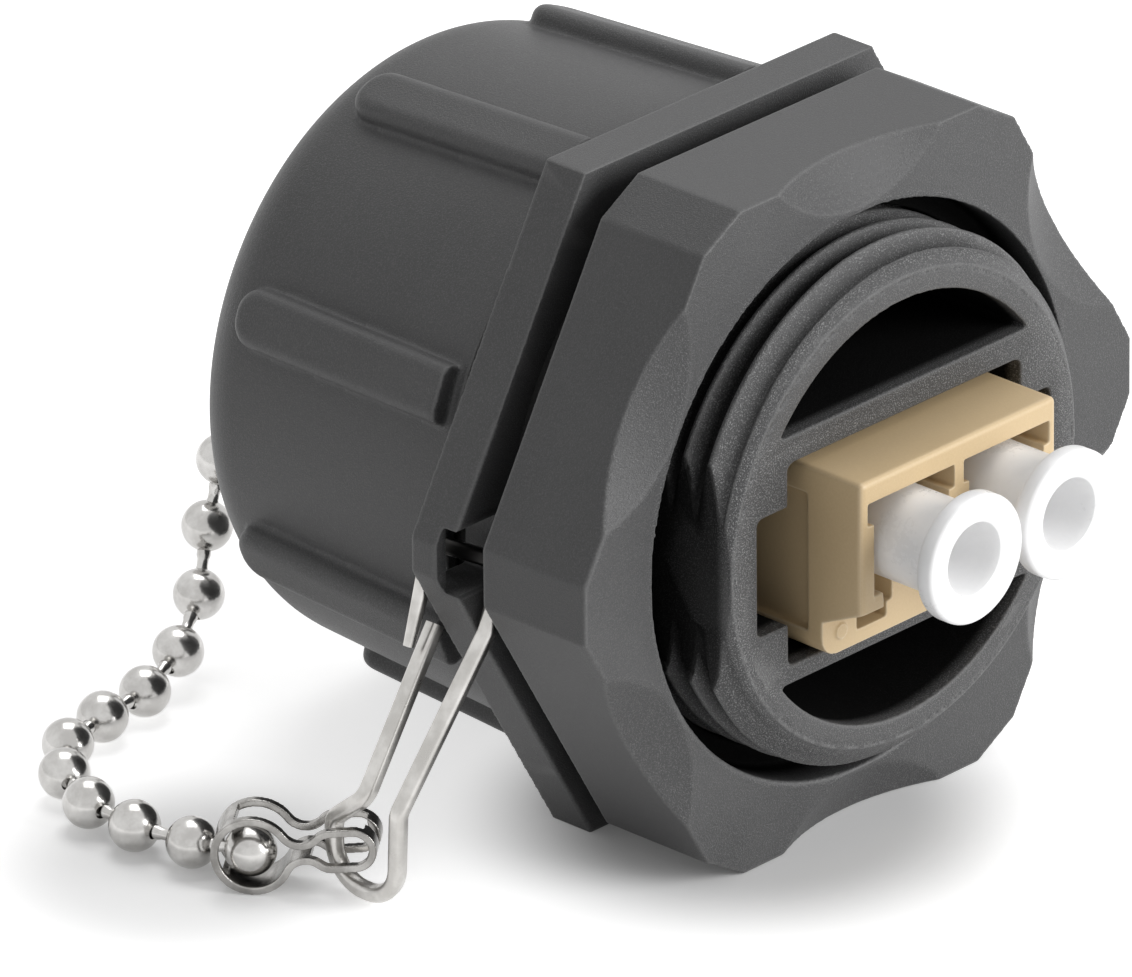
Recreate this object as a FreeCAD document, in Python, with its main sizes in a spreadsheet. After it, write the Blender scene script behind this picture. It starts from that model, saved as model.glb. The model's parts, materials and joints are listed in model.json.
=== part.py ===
import FreeCAD, Part
import math
import os

import Sketcher

Vector = FreeCAD.Vector
Rotation = FreeCAD.Rotation
Placement = FreeCAD.Placement

# Panel-mount duplex fibre adapter. The axis lies along Y: the nut and the ports face -Y, the cap +Y.
# The origin is on the axis, in the flange face that seats on the panel. All sizes are in millimetres.

driving_sizes = [
    ("flange_margin", 3.75, "barrel to a flat of the flange and nut"),
    ("flange_thick", 2.4, "flange thickness"),
    ("flange_corner_depth", 0.464, "cut at the flange's wire corner, depth"),
    ("slot_height", 3.2, "wire slot, height"),
    ("slot_width", 2.8, "wire slot, radial width"),
    ("slot_wall", 0.7, "wall outside the wire slot"),
    ("notch_depth", 0.9, "depth of the notch that opens the slot"),
    ("barrel_dia", 25.0, "panel thread, outside diameter"),
    ("barrel_reach", 10.55, "flange face to barrel end"),
    ("barrel_chamfer", 1.25, "chamfer at the barrel end"),
    ("barrel_flats", 22.6, "barrel, across its two flats"),
    ("thread_pitch", 1.5, "panel thread, pitch"),
    ("thread_depth", 0.92, "panel thread, depth"),
    ("thread_mouth", 1.26, "width of a thread groove at the crest"),
    ("thread_root", 0.18, "width of a thread groove at the root"),
    ("thread_start", 2.05, "barrel end to the first thread groove"),
    ("thread_grooves", 6, "thread grooves along the barrel"),
    ("relief_radius", 10.15, "D-shaped relief, arc radius"),
    ("relief_edge", 6.05, "axis to a relief's straight edge"),
    ("relief_depth", 11.0, "depth of a relief"),
    ("window_width", 15.3, "window, narrow part"),
    ("window_top", 4.7, "axis to the window's top edge"),
    ("window_bottom", 5.15, "axis to the window's bottom edge"),
    ("ear_pocket_width", 19.3, "window, wide part"),
    ("ear_pocket_top", 2.65, "axis to the wide part's top"),
    ("ear_pocket_bottom", 3.1, "axis to the wide part's bottom"),
    ("passage_play", 0.1, "play round the housing in its passage"),
    ("spigot_step", 0.8, "cap-side spigot, step outside the barrel"),
    ("spigot_wall", 1.6, "cap-side spigot, wall"),
    ("spigot_reach", 13.0, "flange back to spigot end"),
    ("spigot_floor", 1.6, "web behind the flange"),
    ("nut_thick", 6.25, "nut thickness"),
    ("nut_gap", 1.65, "flange face to nut"),
    ("nut_corner_depth", 0.81, "cut at a nut's corner, depth"),
    ("nut_mouth", 1.05, "nut's counterbore, step outside its bore"),
    ("nut_mouth_depth", 2.4, "nut's counterbore, depth"),
    ("scallop_radius", 13.15, "ball cutter of the finger scallops"),
    ("scallop_width", 10.6, "scallop, width along the nut's edge"),
    ("scallop_back", 1.2, "scallop, depth along the flat"),
    ("thread_play", 0.05, "radial play of a thread"),
    ("gasket_width", 1.95, "panel gasket, width of the ring"),
    ("gasket_thick", 1.0, "panel gasket, thickness"),
    ("cap_wall", 2.05, "cap's wall at its rim, without ribs"),
    ("cap_draft", 0.75, "cap, draft from its rim to its rear shoulder"),
    ("cap_gap", 0.7, "flange back to cap rim"),
    ("cap_length", 17.3, "cap, rim to rear face"),
    ("cap_shoulder", 3.2, "radius of the cap's rear shoulder"),
    ("cap_end_wall", 1.6, "cap's end wall"),
    ("cap_seal_room", 0.18, "cap's recess, room outside the sealing ring"),
    ("cap_seal_depth", 1.3, "cap's seal recess, depth"),
    ("rib_count", 8, "ribs round the cap"),
    ("rib_width", 2.8, "rib width"),
    ("rib_height", 1.0, "rib height above the cap"),
    ("rib_crown", 0.7, "rise of a rib's rounded top"),
    ("rib_setback", 0.55, "cap's rim to the start of a rib"),
    ("rib_length", 14.0, "rib length from the rim"),
    ("rib_slope", 1.5, "length of a rib's sloping end"),
    ("seal_section", 1.2, "sealing ring, section diameter"),
    ("seal_play", 0.02, "sealing ring's play on the spigot"),
    ("rivet_dia", 2.2, "rivet shank"),
    ("rivet_head_dia", 4.2, "rivet head"),
    ("rivet_head_rise", 1.1, "rivet head, height"),
    ("rivet_play", 0.05, "radial play of the swivel on its rivet"),
    ("swivel_dia", 5.6, "chain swivel ring"),
    ("swivel_thick", 0.5, "chain swivel, sheet thickness"),
    ("swivel_reach", 5.0, "rivet to the swivel's ball cup"),
    ("swivel_neck", 1.6, "width of the swivel's neck"),
    ("cup_wall", 0.3, "wall of the swivel's ball cup"),
    ("ball_dia", 2.4, "chain ball"),
    ("chain_bow_height", 8.85, "floor to the chain's bow behind the cap"),
    ("chain_bend_height", 3.65, "floor to the chain's bend below the bow"),
    ("ball_pitch", 3.15, "chain ball spacing"),
    ("ball_room", 0.06, "play between ball and holder"),
    ("link_dia", 0.7, "chain link wire"),
    ("link_gap", 0.06, "play between a link and the ball it turns on"),
    ("open_gap", 0.35, "play where the chain's loop is left open"),
    ("clasp_width", 2.4, "clasp strip, width"),
    ("clasp_wall", 0.35, "clasp strip, thickness"),
    ("clasp_slot", 1.6, "slot along the clasp's top and under its wire end"),
    ("clasp_end_slot", 0.6, "slot in the clasp's wire end, narrower than the wire"),
    ("clasp_ball_loop", 1.88, "clasp loop round the ball, outside radius"),
    ("clasp_wire_loop", 1.05, "clasp loop round the wire, outside radius"),
    ("clasp_wire_run", 1.0, "straight part of the clasp's wire loop"),
    ("clasp_waist", 0.8, "radius of the clasp's waist"),
    ("clasp_span", 3.6, "ball loop to wire loop"),
    ("clasp_keyhole", 1.8, "opening in the clasp for the chain"),
    ("clasp_lift", 0.4, "rise of the clasp towards the wire"),
    ("clasp_ball_shift", 0.2, "ball below and beyond the middle of its loop"),
    ("wire_dia", 0.95, "wire loop, wire diameter"),
    ("wire_bend", 0.8, "wire loop, bend radius"),
    ("wire_play", 0.15, "wire loop to the flange faces"),
    ("eye_span", 3.8, "wire loop, leg to leg at the eye"),
    ("eye_out", 4.8, "wire slot to the eye, outwards"),
    ("eye_back", 4.75, "flange face to the eye's rear leg"),
    ("eye_height", 4.575, "wire loop, eye to the front leg's knee"),
    ("eye_rise", 2.975, "wire loop, eye to the rear leg's knee"),
    ("port_pitch", 6.25, "spacing of the two ports"),
    ("port_rise", 0.78, "axis to the ports' centre line"),
    ("housing_width", 12.8, "housing width"),
    ("housing_top", 4.28, "axis to the housing's top"),
    ("housing_bottom", 5.0, "axis to the housing's bottom"),
    ("housing_front", 13.8, "flange face to the housing's front"),
    ("housing_length", 26.8, "housing, end to end"),
    ("latch_wall_top", 2.1, "axis to the top of the set-back latch wall"),
    ("latch_setback", 2.4, "set-back of the latch wall"),
    ("latch_round", 1.0, "lower corners of the housing, radius"),
    ("ear_width", 18.8, "housing over its ears"),
    ("ear_top", 2.4, "axis to an ear's top"),
    ("ear_bottom", 2.9, "axis to an ear's bottom"),
    ("ear_thick", 1.5, "ear thickness in each half"),
    ("port_size", 4.9, "port, square opening"),
    ("port_head_width", 5.65, "port, wider upper part"),
    ("port_head_drop", 1.1, "height of the wider upper part"),
    ("port_depth", 10.4, "port depth"),
    ("latch_slot_width", 2.6, "latch slot, width"),
    ("latch_slot_drop", 1.9, "latch slot below the port"),
    ("latch_slot_depth", 8.0, "latch slot depth"),
    ("holder_dia", 3.0, "sleeve holder, outside diameter"),
    ("holder_reach", 8.6, "sleeve holder, from the joint"),
    ("sleeve_dia", 1.6, "split sleeve, outside diameter"),
    ("sleeve_bore", 1.25, "split sleeve, bore"),
    ("sleeve_length", 11.4, "split sleeve, length"),
    ("sleeve_slit", 0.2, "split sleeve, slit"),
    ("sleeve_play", 0.03, "play round the split sleeve"),
    ("ferrule_hole", 1.4, "holder mouth, at the sleeve"),
    ("ferrule_mouth", 1.9, "holder mouth, at its outer end"),
    ("plug_flange_dia", 6.1, "dust plug, flange"),
    ("plug_flange_thick", 0.9, "dust plug, flange thickness"),
    ("plug_stem_dia", 4.4, "dust plug, stem"),
    ("plug_bore", 3.1, "dust plug, outer bore"),
    ("plug_reach", 3.9, "dust plug, outside the housing"),
    ("plug_depth", 7.3, "dust plug, inside the port"),
    ("plug_bore_depth", 5.0, "dust plug, depth of the outer bore"),
    ("plug_grip_depth", 3.2, "dust plug, depth of the bore over the sleeve holder"),
    ("plug_play", 0.05, "radial play of a dust plug on the sleeve holder"),
    ("plug_round", 0.25, "dust plug, edge rounding"),
]

doc = FreeCAD.newDocument("fibre_adapter")
sheet = doc.addObject("Spreadsheet::Sheet", "Sizes")
for row, (alias, value, meaning) in enumerate(driving_sizes, start=1):
    sheet.set(f"A{row}", meaning)
    sheet.set(f"B{row}", str(value))
    sheet.setAlias(f"B{row}", alias)
doc.recompute()


class Size:
    """A length with its value and the spreadsheet expression that drives it."""

    def __init__(self, text, value):
        self.text = text
        self.value = value

    def joined(self, sign, other, value):
        other_text = other.text if isinstance(other, Size) else repr(float(other))
        return Size(f"({self.text} {sign} {other_text})", value)

    def __add__(self, other):
        return self.joined("+", other, self.value + number(other))

    def __sub__(self, other):
        return self.joined("-", other, self.value - number(other))

    def __mul__(self, other):
        return self.joined("*", other, self.value * number(other))

    def __truediv__(self, other):
        return self.joined("/", other, self.value / number(other))

    def __neg__(self):
        return Size(f"(0 - {self.text})", -self.value)

    def root(self):
        return Size(f"sqrt({self.text})", math.sqrt(self.value))


def number(thing):
    return thing.value if isinstance(thing, Size) else float(thing)


size = {alias: Size(f"Sizes.{alias}", float(sheet.get(alias))) for alias, value, meaning in driving_sizes}
zero = Size("0", 0.0)


def bind(thing, prop, length):
    thing.setExpression(prop, length.text)


def origin_part(body, role):
    return next(feature for feature in body.Origin.OriginFeatures if feature.Role == role)


def new_body(label):
    body = doc.addObject("PartDesign::Body", label)
    body.Label = label
    return body


def new_sketch(body, role, offset=zero):
    sketch = body.newObject("Sketcher::SketchObject", "Sketch")
    sketch.AttachmentSupport = [(origin_part(body, role), "")]
    sketch.MapMode = "FlatFace"
    bind(sketch, "AttachmentOffset.Base.z", offset)
    return sketch


def hold(sketch, edge, end, kind, length):
    """Fix one coordinate of a sketch point at a driven value."""
    if abs(length.value) < 1e-9:
        axis = -2 if kind == "DistanceX" else -1
        sketch.addConstraint(Sketcher.Constraint("PointOnObject", edge, end, axis))
        return
    forward = length.value > 0
    ends = (-1, 1, edge, end) if forward else (edge, end, -1, 1)
    index = sketch.addConstraint(Sketcher.Constraint(kind, *ends, abs(length.value)))
    bind(sketch, f"Constraints[{index}]", length if forward else -length)


def pin(sketch, edge, end, across, along):
    hold(sketch, edge, end, "DistanceX", across)
    hold(sketch, edge, end, "DistanceY", along)


def outline(sketch, corners, arcs=None):
    """Closed outline through driven corners; arcs maps an edge to the driven centre of its arc."""
    arcs = arcs or {}
    first = sketch.GeometryCount
    points = [Vector(across.value, along.value, 0) for across, along in corners]
    count = len(points)
    ends = []
    for i in range(count):
        start, end = points[i], points[(i + 1) % count]
        ends.append((1, 2))
        if i not in arcs:
            sketch.addGeometry(Part.LineSegment(start, end))
            continue
        centre = Vector(arcs[i][0].value, arcs[i][1].value, 0)
        outward = ((start + end) * 0.5 - centre).normalize()
        sketch.addGeometry(Part.Arc(start, centre + outward * (start - centre).Length, end))
        if (sketch.Geometry[first + i].StartPoint - start).Length > 1e-6:
            ends[i] = (2, 1)
    for i in range(count):
        j = (i + 1) % count
        sketch.addConstraint(Sketcher.Constraint("Coincident", first + i, ends[i][1], first + j, ends[j][0]))
        pin(sketch, first + i, ends[i][0], *corners[i])
    for i, (across, along) in arcs.items():
        chord = points[(i + 1) % count] - points[i]
        if abs(chord.y) > abs(chord.x):
            hold(sketch, first + i, 3, "DistanceX", across)
        else:
            hold(sketch, first + i, 3, "DistanceY", along)


def circle(sketch, across, along, radius):
    centre = Vector(across.value, along.value, 0)
    edge = sketch.addGeometry(Part.Circle(centre, Vector(0, 0, 1), radius.value))
    pin(sketch, edge, 3, across, along)
    index = sketch.addConstraint(Sketcher.Constraint("Radius", edge, radius.value))
    bind(sketch, f"Constraints[{index}]", radius)


def rectangle(sketch, left, right, low, high):
    outline(sketch, [(left, low), (right, low), (right, high), (left, high)])


def pad(body, sketch, length, towards_cap=False):
    feature = body.newObject("PartDesign::Pad", "Pad")
    feature.Profile = sketch
    feature.Reversed = towards_cap
    bind(feature, "Length", length)
    return feature


def pocket(body, sketch, length, towards_nut=False):
    feature = body.newObject("PartDesign::Pocket", "Pocket")
    feature.Profile = sketch
    feature.Reversed = towards_nut
    bind(feature, "Length", length)
    return feature


def revolve(body, sketch, kind="PartDesign::Revolution"):
    feature = body.newObject(kind, "Turned")
    feature.Profile = sketch
    feature.ReferenceAxis = (sketch, ["V_Axis"])
    feature.Angle = 360.0
    return feature


def polar_pattern(body, feature, count):
    pattern = body.newObject("PartDesign::PolarPattern", "PolarPattern")
    pattern.Originals = [feature]
    pattern.Axis = (origin_part(body, "Y_Axis"), [""])
    pattern.Angle = 360.0
    bind(pattern, "Occurrences", count)
    body.Tip = pattern
    return pattern


def linear_pattern(body, feature, pitch, count):
    """Copies towards the cap, one pitch apart."""
    pattern = body.newObject("PartDesign::LinearPattern", "LinearPattern")
    pattern.Originals = [feature]
    pattern.Direction = (origin_part(body, "Y_Axis"), [""])
    bind(pattern, "Occurrences", count)
    bind(pattern, "Length", pitch * (count - 1))
    body.Tip = pattern
    return pattern


def hexagon(across_flats):
    """Corners of a hexagon with level top and bottom flats."""
    half = across_flats / 2
    reach = across_flats / math.sqrt(3)
    return [(reach, zero), (reach / 2, half), (-(reach / 2), half),
            (-reach, zero), (-(reach / 2), -half), (reach / 2, -half)]


hex_flats = size["barrel_dia"] + size["flange_margin"] * 2
floor_level = -hex_flats / 2
hex_reach = hex_flats / math.sqrt(3)
flange_back = size["flange_thick"]
cap_rim = flange_back + size["cap_gap"]
cap_rear = cap_rim + size["cap_length"]
spigot_radius = size["barrel_dia"] / 2 + size["spigot_step"]
joint_plane = size["housing_length"] / 2 - size["housing_front"]
corner_cut = hex_reach - size["flange_corner_depth"]
slot_outer = corner_cut - size["slot_wall"]
slot_centre = slot_outer - size["slot_width"] / 2


def adapter_body():
    body = new_body("adapter_body")
    flange = new_sketch(body, "XZ_Plane")
    outline(flange, hexagon(hex_flats))
    pad(body, flange, size["flange_thick"], towards_cap=True)

    barrel_radius = size["barrel_dia"] / 2
    end_radius = barrel_radius - size["barrel_chamfer"]
    chamfer_start = -(size["barrel_reach"] - size["barrel_chamfer"])
    barrel = new_sketch(body, "XY_Plane")
    outline(barrel, [(zero, zero), (zero, -size["barrel_reach"]), (end_radius, -size["barrel_reach"]),
                     (barrel_radius, chamfer_start), (barrel_radius, zero)])
    revolve(body, barrel)
    thread = new_sketch(body, "XY_Plane")
    middle = -(size["barrel_reach"] - size["thread_start"])
    mouth = size["thread_mouth"] / 2
    root = size["thread_root"] / 2
    root_radius = barrel_radius - size["thread_depth"]
    outline(thread, [(barrel_radius, middle - mouth), (root_radius, middle - root),
                     (root_radius, middle + root), (barrel_radius, middle + mouth),
                     (barrel_radius + 1, middle + mouth), (barrel_radius + 1, middle - mouth)])
    groove = revolve(body, thread, "PartDesign::Groove")
    linear_pattern(body, groove, size["thread_pitch"], size["thread_grooves"])

    bore_radius = spigot_radius - size["spigot_wall"]
    cavity_floor = flange_back + size["spigot_floor"]
    spigot_end = flange_back + size["spigot_reach"]
    spigot = new_sketch(body, "XY_Plane")
    outline(spigot, [(zero, flange_back), (spigot_radius, flange_back), (spigot_radius, spigot_end),
                     (bore_radius, spigot_end), (bore_radius, cavity_floor), (zero, cavity_floor)])
    revolve(body, spigot)

    half_flats = size["barrel_flats"] / 2
    for side in (1, -1):
        inner = half_flats if side > 0 else -half_flats
        outer = barrel_radius + 1 if side > 0 else -(barrel_radius + 1)
        flat = new_sketch(body, "XZ_Plane", size["barrel_reach"])
        rectangle(flat, inner, outer, -barrel_radius, barrel_radius)
        pocket(body, flat, size["barrel_reach"])

    relief_radius = size["relief_radius"]
    relief_edge = size["relief_edge"]
    relief_half = (relief_radius * relief_radius - relief_edge * relief_edge).root()
    for side in (1, -1):
        edge = relief_edge if side > 0 else -relief_edge
        relief = new_sketch(body, "XZ_Plane", size["barrel_reach"])
        outline(relief, [(-relief_half, edge), (relief_half, edge)], {1: (zero, zero)})
        pocket(body, relief, size["relief_depth"])

    window_depth = size["barrel_reach"] + joint_plane + size["ear_thick"]
    window = new_sketch(body, "XZ_Plane", size["barrel_reach"])
    rectangle(window, -(size["window_width"] / 2), size["window_width"] / 2,
              -size["window_bottom"], size["window_top"])
    pocket(body, window, window_depth)
    ears = new_sketch(body, "XZ_Plane", size["barrel_reach"])
    rectangle(ears, -(size["ear_pocket_width"] / 2), size["ear_pocket_width"] / 2,
              -size["ear_pocket_bottom"], size["ear_pocket_top"])
    pocket(body, ears, window_depth)
    passage = new_sketch(body, "XZ_Plane", size["barrel_reach"])
    room = size["passage_play"]
    rectangle(passage, -(size["housing_width"] / 2 + room), size["housing_width"] / 2 + room,
              -(size["housing_bottom"] + room), size["housing_top"] + room)
    pocket(body, passage, size["barrel_reach"] + cavity_floor)

    corner = new_sketch(body, "XZ_Plane")
    rectangle(corner, -hex_flats, -corner_cut, -(hex_flats / 4), hex_flats / 4)
    pocket(body, corner, size["flange_thick"])
    slot = new_sketch(body, "XZ_Plane")
    rectangle(slot, -slot_outer, -(slot_outer - size["slot_width"]),
              -(size["slot_height"] / 2), size["slot_height"] / 2)
    pocket(body, slot, size["flange_thick"])
    notch = new_sketch(body, "XZ_Plane")
    rectangle(notch, -corner_cut - 1, -(slot_outer - size["slot_width"]),
              -(size["slot_height"] / 2), size["slot_height"] / 2)
    pocket(body, notch, size["notch_depth"])
    return body


def panel_gasket():
    body = new_body("panel_gasket")
    ring = new_sketch(body, "XZ_Plane")
    bore_radius = size["barrel_dia"] / 2 + size["thread_play"]
    circle(ring, zero, zero, bore_radius + size["gasket_width"])
    circle(ring, zero, zero, bore_radius)
    pad(body, ring, size["gasket_thick"])
    return body


def panel_nut():
    body = new_body("panel_nut")
    half = hex_flats / 2
    cut = hex_reach - size["nut_corner_depth"]
    level_end = cut * 2 - half * math.sqrt(3)
    corners = []
    for turn in range(6):
        angle = math.radians(60 * turn)
        for end in (1, -1):
            across, along = level_end * end, half
            corners.append((across * math.cos(angle) - along * math.sin(angle),
                            across * math.sin(angle) + along * math.cos(angle)))
    hexagonal = new_sketch(body, "XZ_Plane", size["nut_gap"])
    outline(hexagonal, corners)
    pad(body, hexagonal, size["nut_thick"])

    front = size["nut_gap"] + size["nut_thick"]
    bore_radius = size["barrel_dia"] / 2 + size["thread_play"]
    bore = new_sketch(body, "XZ_Plane", front)
    circle(bore, zero, zero, bore_radius)
    pocket(body, bore, size["nut_thick"])
    mouth = new_sketch(body, "XY_Plane")
    mouth_radius = bore_radius + size["nut_mouth"]
    mouth_floor = -(front - size["nut_mouth_depth"])
    outline(mouth, [(bore_radius - 1, -front), (mouth_radius, -front), (mouth_radius, mouth_floor),
                    (bore_radius - 1, mouth_floor)])
    revolve(body, mouth, "PartDesign::Groove")

    half_width = size["scallop_width"] / 2
    depth = size["scallop_back"]
    on_flat = (half_width * half_width + depth * depth) / (depth * 2)
    ball_ahead = on_flat - depth
    ball_above = (size["scallop_radius"] * size["scallop_radius"] - on_flat * on_flat).root()
    scallop = body.newObject("PartDesign::SubtractiveSphere", "Scallop")
    scallop.AttachmentSupport = [(origin_part(body, "XZ_Plane"), "")]
    scallop.MapMode = "FlatFace"
    bind(scallop, "Radius", size["scallop_radius"])
    bind(scallop, "AttachmentOffset.Base.y", half + ball_above)
    bind(scallop, "AttachmentOffset.Base.z", front + ball_ahead)
    polar_pattern(body, scallop, Size("6", 6.0))
    return body


def protective_cap():
    body = new_body("protective_cap")
    inner_radius = spigot_radius + size["thread_play"]
    rim_radius = inner_radius + size["cap_wall"]
    end_radius = rim_radius - size["cap_draft"]
    recess_radius = spigot_radius + size["seal_play"] + size["seal_section"] + size["cap_seal_room"]
    shoulder_start = cap_rear - size["cap_shoulder"]
    inner_end = cap_rear - size["cap_end_wall"]
    recess_end = cap_rim + size["cap_seal_depth"]
    rivet_hole = size["rivet_dia"] / 2
    shell = new_sketch(body, "XY_Plane")
    inner_shoulder = size["cap_shoulder"] - size["cap_end_wall"]
    outline(shell, [(rim_radius, cap_rim), (end_radius, shoulder_start),
                    (end_radius - size["cap_shoulder"], cap_rear), (rivet_hole, cap_rear),
                    (rivet_hole, inner_end), (inner_radius - inner_shoulder, inner_end),
                    (inner_radius, inner_end - inner_shoulder), (inner_radius, recess_end),
                    (recess_radius, recess_end), (recess_radius, cap_rim)],
            {1: (end_radius - size["cap_shoulder"], shoulder_start),
             5: (inner_radius - inner_shoulder, inner_end - inner_shoulder)})
    revolve(body, shell)

    half_rib = size["rib_width"] / 2
    rise = size["rib_crown"]
    crown = (half_rib * half_rib + rise * rise) / (rise * 2)
    taper = (rim_radius - end_radius) / (size["cap_length"] - size["cap_shoulder"])
    sections = []
    for along in (size["rib_setback"], size["rib_length"]):
        top = rim_radius - taper * along + size["rib_height"]
        foot = top - size["rib_height"] - size["cap_end_wall"] / 2
        eave = top - rise
        section = new_sketch(body, "XZ_Plane", -(cap_rim + along))
        outline(section, [(half_rib, foot), (half_rib, eave), (-half_rib, eave), (-half_rib, foot)],
                {1: (zero, top - crown)})
        sections.append(section)
    rib = body.newObject("PartDesign::AdditiveLoft", "Rib")
    rib.Profile = sections[0]
    rib.Sections = [sections[1]]
    rib.Ruled = True
    polar_pattern(body, rib, size["rib_count"])

    rib_end = cap_rim + size["rib_length"]
    slope_start = rib_end - size["rib_slope"]
    end_surface = rim_radius - taper * size["rib_length"]
    slope = new_sketch(body, "XY_Plane")
    clear = end_surface + size["rib_height"] * 3
    outline(slope, [(end_surface, rib_end), (end_surface + size["rib_height"], slope_start),
                    (clear, slope_start), (clear, rib_end + 1), (end_surface, rib_end + 1)])
    revolve(body, slope, "PartDesign::Groove")
    turn = Rotation(Vector(0, 1, 0), 180.0 / number(size["rib_count"]))
    body.Placement = Placement(Vector(0, 0, 0), turn)
    return body


def cap_seal():
    ring = doc.addObject("Part::Torus", "cap_seal")
    ring.Label = "cap_seal"
    bind(ring, "Radius1", spigot_radius + size["seal_section"] / 2 + size["seal_play"])
    bind(ring, "Radius2", size["seal_section"] / 2)
    bind(ring, "Placement.Base.y", flange_back + size["seal_section"] / 2)
    ring.Placement.Rotation = Rotation(Vector(1, 0, 0), 90)
    return ring


def cap_rivet():
    body = new_body("cap_rivet")
    shank = size["rivet_dia"] / 2
    head = size["rivet_head_dia"] / 2
    seat = cap_rear + size["swivel_thick"] + size["rivet_play"]
    inner = cap_rear - size["cap_end_wall"]
    rise = size["rivet_head_rise"]
    dome = (head * head + rise * rise) / (rise * 2)
    turned = new_sketch(body, "XY_Plane")
    upset = inner - size["swivel_thick"]
    outline(turned, [(zero, upset), (head, upset), (head, inner), (shank, inner), (shank, seat), (head, seat),
                     (zero, seat + rise)],
            {5: (zero, seat + rise - dome)})
    revolve(body, turned)
    return body


def housing_half(label, towards_nut):
    """One moulded half of the duplex housing, closed at the joint plane and open at its port end."""
    body = new_body(label)
    half_length = size["housing_length"] / 2
    half_width = size["housing_width"] / 2
    joint = -joint_plane

    def level(reach):
        return joint + reach if towards_nut else joint - reach

    def grow(sketch, length):
        return pad(body, sketch, length, towards_cap=not towards_nut)

    def sink(sketch, length):
        return pocket(body, sketch, length, towards_nut=not towards_nut)

    upper = new_sketch(body, "XZ_Plane", joint)
    rectangle(upper, -half_width, half_width, -size["latch_wall_top"], size["housing_top"])
    grow(upper, half_length)
    lower = new_sketch(body, "XZ_Plane", joint)
    round_corner = size["latch_round"]
    low = -size["housing_bottom"]
    high = -size["latch_wall_top"]
    inner = half_width - round_corner
    corner_top = low + round_corner
    outline(lower, [(-half_width, high), (-half_width, corner_top), (-inner, low), (inner, low),
                    (half_width, corner_top), (half_width, high)],
            {1: (-inner, corner_top), 3: (inner, corner_top)})
    grow(lower, half_length - size["latch_setback"])
    ears = new_sketch(body, "XZ_Plane", joint)
    rectangle(ears, -(size["ear_width"] / 2), size["ear_width"] / 2, -size["ear_bottom"], size["ear_top"])
    grow(ears, size["ear_thick"])

    half_port = size["port_size"] / 2
    half_head = size["port_head_width"] / 2
    half_slot = size["latch_slot_width"] / 2
    port_top = size["port_rise"] + half_port
    port_low = size["port_rise"] - half_port
    head_low = port_top - size["port_head_drop"]
    for side in (-1, 1):
        centre = size["port_pitch"] / 2 if side > 0 else -(size["port_pitch"] / 2)
        port = new_sketch(body, "XZ_Plane", level(half_length))
        outline(port, [(centre - half_head, head_low), (centre - half_head, port_top),
                       (centre + half_head, port_top), (centre + half_head, head_low),
                       (centre + half_port, head_low), (centre + half_port, port_low),
                       (centre - half_port, port_low), (centre - half_port, head_low)])
        sink(port, size["port_depth"])
        latch = new_sketch(body, "XZ_Plane", level(half_length))
        rectangle(latch, centre - half_slot, centre + half_slot, port_low - size["latch_slot_drop"],
                  size["port_rise"])
        sink(latch, size["latch_slot_depth"])
        holder = new_sketch(body, "XZ_Plane", joint)
        circle(holder, centre, size["port_rise"], size["holder_dia"] / 2)
        grow(holder, size["holder_reach"])
        sleeve_room = new_sketch(body, "XZ_Plane", joint)
        circle(sleeve_room, centre, size["port_rise"], size["sleeve_dia"] / 2 + size["sleeve_play"])
        bore = body.newObject("PartDesign::Pocket", "SleeveRoom")
        bore.Profile = sleeve_room
        bore.Reversed = towards_nut
        bind(bore, "Length", size["sleeve_length"] / 2 + size["sleeve_play"])
        mouth = new_sketch(body, "XY_Plane", size["port_rise"])
        bind(mouth, "AttachmentOffset.Base.x", centre)
        mouth_end = -level(size["holder_reach"])
        mouth_floor = -level(size["sleeve_length"] / 2)
        outline(mouth, [(zero, mouth_end), (size["ferrule_mouth"] / 2, mouth_end),
                        (size["ferrule_hole"] / 2, mouth_floor), (zero, mouth_floor)])
        revolve(body, mouth, "PartDesign::Groove")
    return body


def split_sleeve(label, centre):
    body = new_body(label)
    half_length = size["sleeve_length"] / 2
    tube = new_sketch(body, "XZ_Plane", half_length - joint_plane)
    circle(tube, centre, size["port_rise"], size["sleeve_dia"] / 2)
    circle(tube, centre, size["port_rise"], size["sleeve_bore"] / 2)
    pad(body, tube, size["sleeve_length"], towards_cap=True)
    slit = new_sketch(body, "XZ_Plane", half_length - joint_plane)
    half_slit = size["sleeve_slit"] / 2
    axis_height = size["port_rise"]
    rectangle(slit, centre - half_slit, centre + half_slit, axis_height, axis_height + size["sleeve_dia"])
    pocket(body, slit, size["sleeve_length"])
    return body


def dust_plug(label, centre):
    body = new_body(label)
    flange = size["plug_flange_dia"] / 2
    stem = size["plug_stem_dia"] / 2
    bore = size["plug_bore"] / 2
    edge = size["plug_round"]
    tip = -(size["housing_front"] + size["plug_reach"])
    shoulder = tip + size["plug_flange_thick"]
    inner_end = -(size["housing_front"] - size["plug_depth"])
    grip = size["holder_dia"] / 2 + size["plug_play"]
    outer_floor = tip + size["plug_bore_depth"]
    inner_floor = inner_end - size["plug_grip_depth"]
    turned = new_sketch(body, "XY_Plane")
    outline(turned, [(bore, tip), (flange - edge, tip), (flange, tip + edge), (flange, shoulder - edge),
                     (flange - edge, shoulder), (stem, shoulder), (stem, inner_end - edge),
                     (stem - edge, inner_end), (grip, inner_end), (grip, inner_floor), (zero, inner_floor),
                     (zero, outer_floor), (bore, outer_floor)],
            {1: (flange - edge, tip + edge), 3: (flange - edge, shoulder - edge)})
    revolve(body, turned)
    body.Placement = Placement(Vector(centre.value, 0, size["port_rise"].value), Rotation())
    bind(body, "Placement.Base.x", centre)
    bind(body, "Placement.Base.z", size["port_rise"])
    return body


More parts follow.
